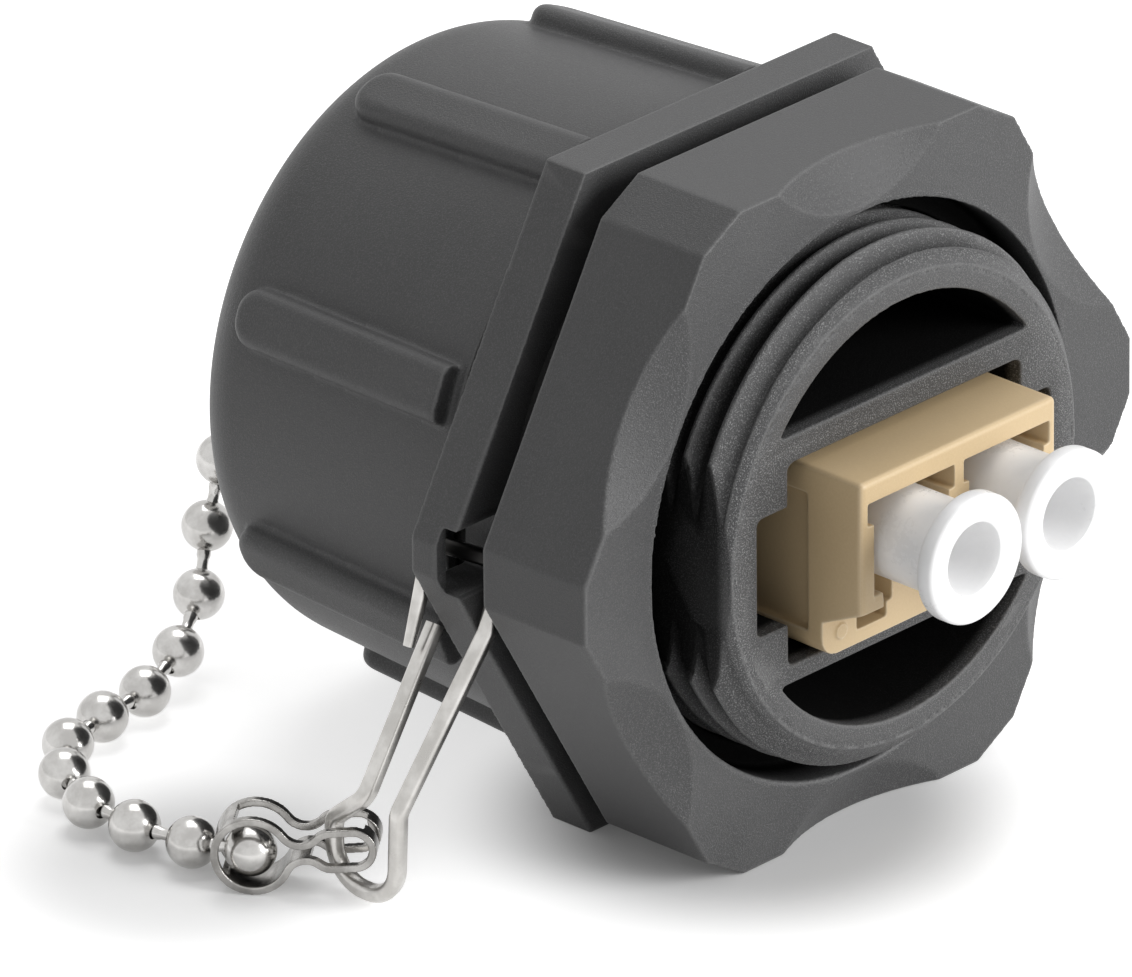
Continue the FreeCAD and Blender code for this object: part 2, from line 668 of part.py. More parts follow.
def bent_path(points, bends):
    """Straight runs through the points, joined by tangent arcs of the given radii."""
    edges = []
    start = points[0]
    for before, here, after, bend in zip(points, points[1:], points[2:], bends):
        incoming = (here - before).normalize()
        outgoing = (after - here).normalize()
        turn = incoming.getAngle(outgoing)
        reach = bend * math.tan(turn / 2)
        first, last = here - incoming * reach, here + outgoing * reach
        inward = (outgoing - incoming).normalize()
        centre = here + inward * (bend / math.cos(turn / 2))
        edges.append(Part.LineSegment(start, first).toShape())
        edges.append(Part.Arc(first, centre - inward * bend, last).toShape())
        start = last
    edges.append(Part.LineSegment(start, points[-1]).toShape())
    return Part.Wire(edges)


wire_eye_x = -number(slot_centre + size["eye_out"])
wire_eye_y = number(size["eye_back"])


def wire_loop():
    """Spring wire threaded through the flange slot: a short hook, the front leg, the eye and the rear leg."""
    radius = number(size["wire_dia"]) / 2
    span = number(size["eye_span"])
    play = number(size["wire_play"])
    behind = number(flange_back) + radius + play
    ahead = -radius - play
    through = -number(slot_centre)
    eye_low = number(floor_level) + radius
    front_leg = wire_eye_y - span
    front_knee = eye_low + number(size["eye_height"])
    rear_knee = eye_low + number(size["eye_rise"])
    points = [
        Vector(through - 2.0, behind, -5.0),
        Vector(through - 0.05, behind, -0.3),
        Vector(through + 0.7, ahead, -0.5),
        Vector(through - 0.4, ahead, -3.4),
        Vector(wire_eye_x - 0.2, front_leg - 0.4, front_knee),
        Vector(wire_eye_x, front_leg, eye_low),
        Vector(wire_eye_x, wire_eye_y, eye_low),
        Vector(wire_eye_x, wire_eye_y, rear_knee),
        Vector(wire_eye_x + 0.1, wire_eye_y - span / 2, front_knee),
        Vector(through + 0.05, behind, -4.4),
    ]
    bend = number(size["wire_bend"])
    eye_bend = span / 2 - 0.05
    path = doc.addObject("Part::Feature", "wire_path")
    path.Shape = bent_path(points, [bend, bend, bend, bend, eye_bend, eye_bend, bend, bend])
    section = doc.addObject("Part::Circle", "wire_section")
    bind(section, "Radius", size["wire_dia"] / 2)
    section.Placement = Placement(points[0], Rotation(Vector(0, 0, 1), points[1] - points[0]))
    loop = doc.addObject("Part::Sweep", "wire_loop")
    loop.Label = "wire_loop"
    loop.Sections = [section]
    loop.Spine = (path, [f"Edge{i + 1}" for i in range(len(path.Shape.Edges))])
    loop.Solid = True
    loop.Frenet = False
    return loop


clasp_heading = Vector(-0.6, 0.8, 0)
chain_bow = Vector(-6.4, 26.1, number(floor_level + size["chain_bow_height"]))


def clasp_axis():
    """Centres of the clasp's wire loop and ball loop."""
    ball_height = number(floor_level) + number(size["clasp_ball_loop"])
    drop = number(size["clasp_lift"])
    wire_end = Vector(wire_eye_x, wire_eye_y, ball_height + drop)
    span = number(size["clasp_span"])
    ball_end = wire_end + clasp_heading * math.sqrt(span ** 2 - drop ** 2) - Vector(0, 0, drop)
    return wire_end, ball_end


def waisted_face(inset):
    """Peanut outline of the clasp: round ball loop, hollow waist, long wire loop, in tangent arcs."""
    ball_loop = number(size["clasp_ball_loop"]) - inset
    wire_loop = number(size["clasp_wire_loop"]) - inset
    waist = number(size["clasp_waist"]) + inset
    span = number(size["clasp_span"])
    run = number(size["clasp_wire_run"])
    along = (span ** 2 - (ball_loop - wire_loop) * (ball_loop + wire_loop + 2 * waist)) / (2 * span)
    rise = math.sqrt((wire_loop + waist) ** 2 - along ** 2)
    hollow = Vector(along, 0, rise)
    wire_touch = hollow * (wire_loop / hollow.Length)
    ball_centre = Vector(span, 0, 0)
    ball_touch = ball_centre + (hollow - ball_centre).normalize() * ball_loop
    crown = wire_touch + Vector(0, 0, wire_loop)
    crown = crown * (wire_loop / crown.Length)
    top = Vector(0, 0, wire_loop)
    far_top = Vector(-run, 0, wire_loop)

    def below(point):
        return Vector(point.x, 0, -point.z)

    edges = [
        Part.Arc(below(far_top), Vector(-run - wire_loop, 0, 0), far_top),
        Part.LineSegment(far_top, top),
        Part.Arc(top, crown, wire_touch),
        Part.Arc(wire_touch, Vector(along, 0, rise - waist), ball_touch),
        Part.Arc(ball_touch, Vector(span + ball_loop, 0, 0), below(ball_touch)),
        Part.Arc(below(ball_touch), Vector(along, 0, waist - rise), below(wire_touch)),
        Part.Arc(below(wire_touch), below(crown), below(top)),
        Part.LineSegment(below(top), below(far_top)),
    ]
    return Part.Face(Part.Wire([edge.toShape() for edge in edges]))


def chain_clasp():
    """Stamped strip bent into a peanut-shaped loop, slotted for the wire and open for the chain."""
    wall = number(size["clasp_wall"])
    width = number(size["clasp_width"])
    slot = number(size["clasp_slot"])
    end_slot = number(size["clasp_end_slot"])
    keyhole = number(size["clasp_keyhole"])
    ball_loop = number(size["clasp_ball_loop"])
    wire_loop = number(size["clasp_wire_loop"])
    run = number(size["clasp_wire_run"])
    span = number(size["clasp_span"])
    side = Vector(0, -width / 2, 0)
    band = waisted_face(0.0).extrude(Vector(0, width, 0)).cut(waisted_face(wall).extrude(Vector(0, width, 0)))
    band.translate(side)
    far_end = -run - wire_loop / 2
    cuts = [
        Part.makeBox(span - far_end + ball_loop / 3, slot, ball_loop * 2, Vector(far_end, -slot / 2, 0)),
        Part.makeBox(wire_loop - far_end, slot, ball_loop * 2, Vector(far_end, -slot / 2, -ball_loop * 2)),
        Part.makeBox(wire_loop * 2, end_slot, wire_loop * 2,
                     Vector(far_end - wire_loop, -end_slot / 2, -wire_loop)),
        Part.makeBox(ball_loop * 2, keyhole, ball_loop, Vector(span, -keyhole / 2, -ball_loop / 2)),
    ]
    wire_end, ball_end = clasp_axis()
    direction = (ball_end - wire_end).normalize()
    sideways = Vector(0, 0, 1).cross(direction).normalize()
    clasp = doc.addObject("Part::Feature", "chain_clasp")
    clasp.Label = "chain_clasp"
    clasp.Shape = band.cut(cuts)
    clasp.Placement = Placement(wire_end, Rotation(direction, sideways, direction.cross(sideways), "XYZ"))
    return clasp


def chain_places():
    """Ball centres, from the swivel's cup down to the floor and along it to the clasp."""
    ball = number(size["ball_dia"]) / 2
    lying = number(floor_level) + ball
    cup = swivel_cup()
    wire_end, ball_end = clasp_axis()
    seat = ball_end + (clasp_heading - Vector(0, 0, 1)) * number(size["clasp_ball_shift"])
    route = [
        cup,
        chain_bow,
        Vector(-8.7, 25.2, number(floor_level + size["chain_bend_height"])),
        Vector(-14.4, 23.3, lying),
        Vector(-20.6, 22.0, lying),
        Vector(-24.2, 16.6, lying),
        Vector(-24.0, 11.6, lying),
        seat,
    ]
    curve = Part.BSplineCurve()
    curve.interpolate(route)
    length = curve.length()
    count = round(length / number(size["ball_pitch"]))
    places = []
    for i in range(count + 1):
        place = curve.value(curve.parameterAtDistance(length * i / count))
        place.z = max(place.z, lying)
        places.append(place)
    return places


def swivel_cup():
    """Centre of the ball cup at the end of the swivel's neck."""
    reach = number(size["swivel_reach"])
    cup_radius = number(size["ball_dia"]) / 2 + number(size["ball_room"]) + number(size["cup_wall"])
    lift = number(cap_rear) + cup_radius
    lean = math.radians(231)
    return Vector(reach * math.cos(lean), lift, reach * math.sin(lean))


def chain_swivel():
    """Sheet ring on the rivet with a neck to a cup that is closed round the chain's first ball."""
    cup = swivel_cup()
    rear = number(cap_rear)
    thick = number(size["swivel_thick"])
    inner = number(size["ball_dia"]) / 2 + number(size["ball_room"])
    outer = inner + number(size["cup_wall"])
    outward = Vector(cup.x, 0, cup.z).normalize()
    ring = Part.makeCylinder(number(size["swivel_dia"]) / 2, thick, Vector(0, rear, 0), Vector(0, 1, 0))
    neck_width = number(size["swivel_neck"])
    neck = Part.makeBox(number(size["swivel_reach"]), neck_width, thick, Vector(0, -neck_width / 2, 0))
    neck.Placement = Placement(Vector(0, rear, 0), Rotation(outward, outward.cross(Vector(0, 1, 0)) * -1,
                                                            Vector(0, 1, 0), "XYZ"))
    cup_shell = Part.makeSphere(outer, cup)
    body = ring.fuse([neck, cup_shell]).cut(Part.makeSphere(inner, cup))
    hole = number(size["rivet_dia"]) / 2 + number(size["rivet_play"])
    body = body.cut(Part.makeCylinder(hole, thick * 4, Vector(0, rear - thick, 0), Vector(0, 1, 0)))
    exit_way = chain_bow - cup
    opening = Part.makeCylinder(inner * 0.72, outer * 2, cup, exit_way)
    swivel = doc.addObject("Part::Feature", "chain_swivel")
    swivel.Label = "chain_swivel"
    swivel.Shape = body.cut(opening).removeSplitter()
    return swivel


def chain():
    """Balls and the wire links between them; each link sits on its own ball and turns on the one before."""
    places = chain_places()
    pieces = []
    balls = []
    for i, place in enumerate(places):
        ball = doc.addObject("Part::Sphere", f"chain_ball_{i + 1:02d}")
        ball.Label = f"chain_ball_{i + 1:02d}"
        bind(ball, "Radius", size["ball_dia"] / 2)
        ball.Placement.Base = place
        balls.append(ball)
        pieces.append(ball)
    for i in range(len(places) - 1):
        before, after = places[i], places[i + 1]
        last = i == len(places) - 2
        rod = doc.addObject("Part::Cylinder", f"rod_{i + 1:02d}")
        bind(rod, "Radius", size["link_dia"] / 2)
        rod.Height = (after - before).Length
        rod.Placement = Placement(before, Rotation(Vector(0, 0, 1), after - before))
        room = doc.addObject("Part::Sphere", f"room_{i + 1:02d}")
        bind(room, "Radius", size["ball_dia"] / 2 + (size["open_gap"] if last else size["link_gap"]))
        room.Placement.Base = before
        freed = doc.addObject("Part::Cut", f"freed_{i + 1:02d}")
        freed.Base = rod
        freed.Tool = room
        link = doc.addObject("Part::Cut", f"chain_link_{i + 1:02d}")
        link.Label = f"chain_link_{i + 1:02d}"
        link.Base = freed
        link.Tool = balls[i + 1]
        pieces.append(link)
    return pieces


left = -(size["port_pitch"] / 2)
right = size["port_pitch"] / 2
nodes = [
    adapter_body(), panel_gasket(), panel_nut(), protective_cap(), cap_seal(), cap_rivet(),
    housing_half("housing_front", True), housing_half("housing_rear", False),
    split_sleeve("split_sleeve_left", left), split_sleeve("split_sleeve_right", right),
    dust_plug("dust_plug_left", left), dust_plug("dust_plug_right", right),
    wire_loop(), chain_clasp(), chain_swivel(), *chain(),
]
doc.recompute()

for thing in doc.Objects:
    if "Invalid" in thing.State or "Error" in thing.State:
        raise RuntimeError(f"{thing.Name} failed: {thing.State}")
for node in nodes:
    if node.Shape.isNull() or not node.Shape.isValid() or not node.Shape.Solids:
        raise RuntimeError(f"{node.Label} has no valid solid")

os.makedirs("parts", exist_ok=True)
for node in nodes:
    node.Shape.exportStep(f"parts/{node.Label}.step")
    print(f"{node.Label:20s} {len(node.Shape.Solids)} solid(s) {node.Shape.Volume:9.2f} mm3")
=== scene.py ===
import json
import math

import bmesh
import bpy
from mathutils import Matrix, Vector


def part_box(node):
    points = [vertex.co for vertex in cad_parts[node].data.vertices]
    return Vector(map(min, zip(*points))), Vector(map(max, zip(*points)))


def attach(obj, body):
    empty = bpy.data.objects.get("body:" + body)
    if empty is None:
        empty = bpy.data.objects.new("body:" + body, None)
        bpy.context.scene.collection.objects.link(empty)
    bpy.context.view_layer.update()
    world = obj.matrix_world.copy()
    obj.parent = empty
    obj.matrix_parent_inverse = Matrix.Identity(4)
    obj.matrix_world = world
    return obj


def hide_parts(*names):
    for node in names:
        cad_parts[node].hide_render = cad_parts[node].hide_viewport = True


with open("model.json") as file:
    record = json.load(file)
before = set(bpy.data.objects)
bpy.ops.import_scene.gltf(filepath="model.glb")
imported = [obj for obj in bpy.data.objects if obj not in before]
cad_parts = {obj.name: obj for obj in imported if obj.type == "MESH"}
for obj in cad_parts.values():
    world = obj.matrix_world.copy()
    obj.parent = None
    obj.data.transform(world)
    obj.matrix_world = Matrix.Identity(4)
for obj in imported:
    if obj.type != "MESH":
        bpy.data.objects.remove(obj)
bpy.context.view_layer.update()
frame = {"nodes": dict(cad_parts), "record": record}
nodes = frame["nodes"]

mm = 0.001          # pieces are modelled in millimetres and scaled down when they are done
quarter = math.pi / 2
near = 1e-3         # two places this close are one
hair = 0.1          # points this close to a face count as part of it
skin = 0.15
beyond = 1          # how far a cutter reaches past what it cuts


# small tools

def startFresh():
    if bpy.context.mode != "OBJECT":
        bpy.ops.object.mode_set(mode="OBJECT")
    bpy.ops.object.select_all(action="DESELECT")


def makeActive(piece):
    startFresh()
    piece.select_set(True)
    bpy.context.view_layer.objects.active = piece


def settle(name):
    piece = bpy.context.object
    bpy.ops.object.transform_apply(location=True, rotation=True, scale=True)
    piece.name = name
    piece.data.name = name
    return piece


def addBlock(name, low, high):
    startFresh()
    centre = [(a + b) / 2 for a, b in zip(low, high)]
    bpy.ops.mesh.primitive_cube_add(size=1, location=centre, scale=[b - a for a, b in zip(low, high)])
    return settle(name)


def addDrum(name, radius, front, back, tip=None, sides=160, turn=0.0, at=(0.0, 0.0)):
    startFresh()
    bpy.ops.mesh.primitive_cone_add(vertices=sides, radius1=radius, radius2=radius if tip is None else tip,
                                    depth=back - front, location=(at[0], (front + back) / 2, at[1]),
                                    rotation=(quarter, turn, 0))
    return settle(name)


def addBall(name, radius, at, segments=128, rings=64):
    startFresh()
    bpy.ops.mesh.primitive_uv_sphere_add(segments=segments, ring_count=rings, radius=radius, location=at)
    return settle(name)


def useModifier(piece, kind, **settings):
    makeActive(piece)
    modifier = piece.modifiers.new(kind.title(), kind)
    for name, value in settings.items():
        setattr(modifier, name, value)
    bpy.ops.object.modifier_apply(modifier=modifier.name)


def cutAway(piece, *cutters):
    for cutter in cutters:
        useModifier(piece, "BOOLEAN", operation="DIFFERENCE", solver="EXACT", object=cutter)
        bpy.data.objects.remove(cutter)


def fuse(piece, *others):
    for other in others:
        useModifier(piece, "BOOLEAN", operation="UNION", solver="EXACT", object=other)
        bpy.data.objects.remove(other)


def joinInto(piece, *others):
    makeActive(piece)
    for other in others:
        other.select_set(True)
    bpy.ops.object.join()
    return piece


def openEdit(piece, mode):
    makeActive(piece)
    bpy.ops.object.mode_set(mode="EDIT")
    bpy.ops.mesh.select_mode(type=mode)
    bpy.ops.mesh.select_all(action="DESELECT")
    return bmesh.from_edit_mesh(piece.data)


def pickEdges(piece, test):
    mesh = openEdit(piece, "EDGE")
    for edge in mesh.edges:
        edge.select_set(bool(test(edge.verts[0].co, edge.verts[1].co)))
    bmesh.update_edit_mesh(piece.data)


def pickFaces(piece, test):
    mesh = openEdit(piece, "FACE")
    for face in mesh.faces:
        face.select_set(bool(test(face.calc_center_median(), face.normal)))
    bmesh.update_edit_mesh(piece.data)


def closeEdit():
    bpy.ops.object.mode_set(mode="OBJECT")


def roundEdges(piece, test, width, segments):
    pickEdges(piece, test)
    bpy.ops.mesh.bevel(offset=width, segments=segments, profile=0.5, affect="EDGES", clamp_overlap=True)
    closeEdit()


def insetFaces(piece, test, width):
    pickFaces(piece, test)
    bpy.ops.mesh.inset(thickness=width, depth=0)
    closeEdit()


def pushFaces(piece, test, way):
    pickFaces(piece, test)
    bpy.ops.mesh.extrude_region_move(TRANSFORM_OT_translate={"value": way})
    closeEdit()


def sliceOff(piece, point, normal):
    openEdit(piece, "FACE")
    bpy.ops.mesh.select_all(action="SELECT")
    bpy.ops.mesh.bisect(plane_co=point, plane_no=normal, use_fill=True, clear_outer=True, threshold=1e-5)
    closeEdit()


def alongY(a, b):
    return abs(a.x - b.x) < near and abs(a.z - b.z) < near


def rimAt(y, radius, slack=0.05):
    return lambda a, b: (abs(a.y - y) < near and abs(b.y - y) < near
                         and abs(math.hypot(a.x, a.z) - radius) < slack
                         and abs(math.hypot(b.x, b.z) - radius) < slack)


def endFace(y, way):
    return lambda centre, normal: abs(centre.y - y) < near and normal.y * way > 0.9


def copyTurned(piece, name, matrix):
    twin = piece.copy()
    twin.data = piece.data.copy()
    twin.data.transform(matrix)
    twin.name = name
    twin.data.name = name
    bpy.context.scene.collection.objects.link(twin)
    return twin


def countTriangles(piece):
    return sum(len(face.vertices) - 2 for face in piece.data.polygons)


def mould(piece, voxel, passes, most):
    # all shells become one skin with soft edges, then the flat areas are thinned out
    useModifier(piece, "REMESH", mode="VOXEL", voxel_size=voxel)
    useModifier(piece, "SMOOTH", factor=0.5, iterations=passes)
    count = countTriangles(piece)
    if count > most:
        useModifier(piece, "DECIMATE", ratio=most / count)


def mark(piece, name, share):
    # a value at each point, kept on the mesh for its finish
    field = piece.data.attributes.new(name, "FLOAT", "POINT")
    for vertex, spot in zip(piece.data.vertices, field.data):
        spot.value = share(vertex.co)


def markEdges(piece, low=0.16, high=0.5):
    # how sharply the skin bends outwards at each point
    mesh = bmesh.new()
    mesh.from_mesh(piece.data)
    field = piece.data.attributes.new("edge", "FLOAT", "POINT")
    for vertex, spot in zip(mesh.verts, field.data):
        bend = max(line.calc_face_angle_signed(0.0) for line in vertex.link_edges)
        spot.value = min(1.0, max(0.0, (bend - low) / (high - low)))
    mesh.free()


def hand(piece, body, slot, finish, *replaced, angle=None):
    # to metres, shaded, dressed, and onto its body
    makeActive(piece)
    piece.scale = (mm, mm, mm)
    bpy.ops.object.transform_apply(location=True, rotation=True, scale=True)
    if angle is None:
        bpy.ops.object.shade_smooth()
    else:
        bpy.ops.object.shade_smooth_by_angle(angle=math.radians(angle))
    piece.data.materials.clear()
    piece.data.materials.append(finish)
    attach(piece, body)
    if replaced:
        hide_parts(*replaced)
    print("done:", piece.name, countTriangles(piece), "triangles")
    return piece


# finishes: a Tap is one socket, and sums on it add the Math nodes

class Tap:
    def __init__(self, tree, socket):
        self.tree = tree
        self.socket = socket

    def add(self, kind, settings, sockets, out=0):
        node = self.tree.nodes.new(kind)
        for name, value in settings.items():
            setattr(node, name, value)
        for key, value in sockets.items():
            if isinstance(value, Tap):
                self.tree.links.new(value.socket, node.inputs[key])
            else:
                node.inputs[key].default_value = value
        return Tap(self.tree, node.outputs[out])

    def maths(self, operation, first, second):
        return self.add("ShaderNodeMath", {"operation": operation}, {0: first, 1: second})

    def __add__(self, other):
        return self.maths("ADD", self, other)

    __radd__ = __add__

    def __sub__(self, other):
        return self.maths("SUBTRACT", self, other)

    def __rsub__(self, other):
        return self.maths("SUBTRACT", other, self)

    def __mul__(self, other):
        return self.maths("MULTIPLY", self, other)

    __rmul__ = __mul__

    def field(self, name):
        return self.add("ShaderNodeAttribute", {"attribute_name": name}, {}, out="Fac")

    def noise(self, size, detail=2.0, roughness=0.5):
        return self.add("ShaderNodeTexNoise", {}, {"Vector": self, "Scale": 1 / (size * mm), "Detail": detail,
                                                   "Roughness": roughness})

    def awayFrom(self, place):
        return self.add("ShaderNodeVectorMath", {"operation": "DISTANCE"},
                        {0: self, 1: [value * mm for value in place]}, out=1)

    def between(self, low, high):
        return self.add("ShaderNodeMapRange", {"interpolation_type": "SMOOTHSTEP"},
                        {"Value": self, "From Min": low, "From Max": high})

    def tint(self, dark, light):
        return self.add("ShaderNodeMix", {"data_type": "RGBA"},
                        {0: self, 6: (*dark, 1.0), 7: (*light, 1.0)}, out=2)

    def over(self, under, colour):
        return self.add("ShaderNodeMix", {"data_type": "RGBA"}, {0: self, 6: under, 7: (*colour, 1.0)}, out=2)

    def relief(self, depth, strength):
        return self.add("ShaderNodeBump", {}, {"Height": self, "Distance": depth * mm, "Strength": strength})


def newFinish(name):
    material = bpy.data.materials.new(name)
    material.use_nodes = True
    tree = material.node_tree
    place = tree.nodes.new("ShaderNodeTexCoord")
    return material, Tap(tree, place.outputs["Object"])


def dress(material, **sockets):
    shader = material.node_tree.nodes["Principled BSDF"]
    for key, value in sockets.items():
        socket = shader.inputs[key.replace("_", " ")]
        if isinstance(value, Tap):
            material.node_tree.links.new(value.socket, socket)
        else:
            socket.default_value = value
    return material


def paintedWellShade(at, well):
    # painted shade in the recesses in the barrel's face and on the flats on its sides, by their place
    x, y, z = (at.add("ShaderNodeSeparateXYZ", {}, {0: at}, out=axis) for axis in range(3))
    radius, front, flat = (well[key] * mm for key in ("radius", "front", "flat"))
    inside = 1.0 - (x * x + z * z).between(radius ** 2, (radius + skin * mm) ** 2)
    beside = 1.0 - y.between(*(value * mm for value in well["flange"]))
    flats = (x * x).between((flat - hair * mm) ** 2, flat ** 2) * beside * well["flatShare"]
    return at.maths("MAXIMUM", inside, flats) * y.between(front, front + well["fade"] * mm)


mottle = dict(specks=(0.48, 0.74), clouds=(0.3, 0.7), cloudShare=0.4, grainShare=0.6, cloudGloss=0.06,
              speckRise=0.5)


def mouldedPlastic(look):
    material, at = newFinish(look["name"])
    m = mottle
    coarse = at.field("coarse")
    grain = at.noise(look["grain"], 3.0, 0.6)
    specks = at.noise(look["speck"], 1.0).between(*m["specks"])
    clouds = at.noise(look["cloud"], 3.0).between(*m["clouds"])
    mixed = clouds * m["cloudShare"] + grain.between(*m["clouds"]) * m["grainShare"]
    colour = mixed.tint(look["dark"], look["light"])
    colour = (specks * (look["speckShare"] + coarse * look["speckMore"])).over(colour, look["speckColour"])
    # convex edges lightened: partly wear, partly a painted highlight
    colour = (at.field("edge") * (0.5 + grain) * look["wearAndHighlight"]).over(colour, look["wearAndHighlightColour"])
    rough = look["rough"] + (grain - 0.5) * look["roughSpread"] + (clouds - 0.5) * m["cloudGloss"]
    height = (grain + specks * m["speckRise"]) * (look["even"] + coarse)
    dress(material, Base_Color=colour, Roughness=rough, Normal=height.relief(look["depth"], look["bump"]),
          IOR=1.5, Specular_IOR_Level=look["gloss"], Subsurface_Weight=look["milky"],
          Subsurface_Radius=(1.0, 1.0, 1.0), Subsurface_Scale=look["depthSeen"] * mm)
    if look["paintedShade"]:
        # painted shade: where the mark is high, the finish is mixed towards a dull black that stands in for
        # shadow
        dull = at.add("ShaderNodeBsdfPrincipled", {}, {"Base Color": (*look["paintedShadeColour"], 1.0),
                                                       "Roughness": 1.0, "Specular IOR Level": 0.0})
        bright = Tap(at.tree, at.tree.nodes["Principled BSDF"].outputs[0])
        paintedShade = at.field("paintedShade")
        if "well" in look:
            paintedShade = at.maths("MAXIMUM", paintedShade, paintedWellShade(at, look["well"]))
        blend = at.add("ShaderNodeMixShader", {}, {0: paintedShade * look["paintedShade"], 1: bright, 2: dull})
        at.tree.links.new(blend.socket, at.tree.nodes["Material Output"].inputs["Surface"])
    return material


def brightMetal(look):
    material, at = newFinish(look["name"])
    smear = at.noise(look["smear"], 4.0, 0.6)
    fine = at.noise(look["fine"], 2.0)
    colour = smear.between(*look["smears"]).tint(look["dark"], look["light"])
    if "slotShade" in look:
        # painted shade: darkened where it runs inside the flange slot
        outsideSlotShade = at.awayFrom(look["slotShade"]).between(look["slotShadeFrom"] * mm, look["slotShadeTo"] * mm)
        colour = (1.0 - outsideSlotShade).over(colour, look["slotShadeColour"])
    rough = look["rough"] + (smear - 0.5) * look["roughSpread"] + (fine - 0.5) * look["fineSpread"]
    return dress(material, Base_Color=colour, Metallic=1.0, Roughness=rough,
                 Normal=fine.relief(look["depth"], look["bump"]))


plainLook = dict(even=1.0, speckMore=0.0, paintedShade=0.0, wearAndHighlight=0.0, wearAndHighlightColour=(1, 1, 1), milky=0.0, depthSeen=0.1,
                 gloss=0.5)
# the body finishes mix towards near black where painted shade is marked
bodyLook = dict(plainLook, name="darkNylon", dark=(0.047, 0.047, 0.048), light=(0.071, 0.071, 0.072),
                speckColour=(0.36, 0.36, 0.36), speckShare=0.04, speckMore=0.7, grain=0.12, speck=0.068,
                cloud=5.0, rough=0.47, roughSpread=0.25, depth=0.06, bump=0.6, even=0.5, gloss=0.4,
                paintedShade=0.94, paintedShadeColour=(0.003, 0.003, 0.003), wearAndHighlight=0.5, wearAndHighlightColour=(0.17, 0.17, 0.17))
# the barrel finish adds painted shade in its face recesses and on its side flats
barrelLook = dict(bodyLook, name="barrelNylon",
                  well=dict(radius=10.2, front=-10.3, fade=0.8, flat=11.27, flatShare=0.8, flange=(-0.4, -0.1)))
beigeLook = dict(plainLook, name="beigePolymer", dark=(0.62, 0.463, 0.267), light=(0.66, 0.5, 0.293),
                 speckColour=(0.68, 0.55, 0.36), speckShare=0.12, grain=0.12, speck=0.09, cloud=5.0,
                 rough=0.38, roughSpread=0.12, depth=0.02, bump=0.15, wearAndHighlight=0.5, wearAndHighlightColour=(0.8, 0.68, 0.5))
whiteLook = dict(plainLook, name="whiteVinyl", dark=(0.9, 0.9, 0.905), light=(0.925, 0.925, 0.93),
                 speckColour=(0.92, 0.92, 0.92), speckShare=0.05, grain=0.3, speck=0.2, cloud=3.0,
                 rough=0.3, roughSpread=0.08, depth=0.02, bump=0.08, milky=0.6, depthSeen=0.8)
rubberLook = dict(plainLook, name="blackRubber", dark=(0.014, 0.014, 0.014), light=(0.02, 0.02, 0.02),
                  speckColour=(0.05, 0.05, 0.05), speckShare=0.25, grain=0.1, speck=0.12, cloud=4.0,
                  rough=0.7, roughSpread=0.15, depth=0.03, bump=0.25, gloss=0.3)
ceramicLook = dict(plainLook, name="whiteCeramic", dark=(0.72, 0.71, 0.68), light=(0.8, 0.79, 0.76),
                   speckColour=(0.85, 0.84, 0.82), speckShare=0.1, grain=0.06, speck=0.05, cloud=1.0,
                   rough=0.22, roughSpread=0.06, depth=0.005, bump=0.1)
nickelLook = dict(name="brightNickel", dark=(0.48, 0.47, 0.455), light=(0.62, 0.61, 0.595), smear=1.2,
                  smears=(0.35, 0.7), fine=0.08, fineSpread=0.05, rough=0.2, roughSpread=0.12, depth=0.01,
                  bump=0.14)
claspLook = dict(nickelLook, name="dullNickel", dark=(0.27, 0.262, 0.25), light=(0.44, 0.43, 0.415),
                 rough=0.24)
# the wire carries painted shade inside the flange slot
wireLook = dict(nickelLook, name="satinNickel", dark=(0.5, 0.487, 0.465), light=(0.66, 0.647, 0.625),
                smear=1.5, fine=0.07, rough=0.3, depth=0.012, bump=0.15,
                slotShade=(-15.9, 1.2, -0.4), slotShadeFrom=1.6, slotShadeTo=2.6, slotShadeColour=(0.035, 0.034, 0.033))

bodyPlastic = mouldedPlastic(bodyLook)
barrelPlastic = mouldedPlastic(barrelLook)
beigePlastic = mouldedPlastic(beigeLook)
whitePlastic = mouldedPlastic(whiteLook)
sealRubber = mouldedPlastic(rubberLook)
sleeveCeramic = mouldedPlastic(ceramicLook)
chainNickel = brightMetal(nickelLook)
claspNickel = brightMetal(claspLook)
wireNickel = brightMetal(wireLook)
print("finishes made")


# threads

def screwRidge(name, profile, pitch, start, turns, steps=128):
    # profile: radius and place along the axis; it starts at -X and climbs towards the flange
    startFresh()
    bpy.ops.mesh.primitive_circle_add(vertices=len(profile), radius=1.0, fill_type="NOTHING")
    ridge = settle(name)
    for vertex, (radius, along) in zip(ridge.data.vertices, profile):
        vertex.co = (-radius, start + along, 0)
    useModifier(ridge, "SCREW", axis="Y", screw_offset=pitch, iterations=turns, steps=steps,
                render_steps=steps, use_merge_vertices=False)
    openEdit(ridge, "EDGE")
    bpy.ops.mesh.select_non_manifold(extend=False, use_wire=False, use_boundary=True, use_multi_face=False,
                                     use_non_contiguous=False, use_verts=False)
    bpy.ops.mesh.fill_holes(sides=0)
    bpy.ops.mesh.select_all(action="SELECT")
    bpy.ops.mesh.normals_make_consistent(inside=False)
    closeEdit()
    return ridge


def threadProfile(root, top, foot, crest, sunk=0.4):
    return [(root - sunk, -foot), (root, -foot), (top, -crest), (top, crest), (root, foot), (root - sunk, foot)]


# adapter body: flange, threaded barrel with two flats, spigot under the cap

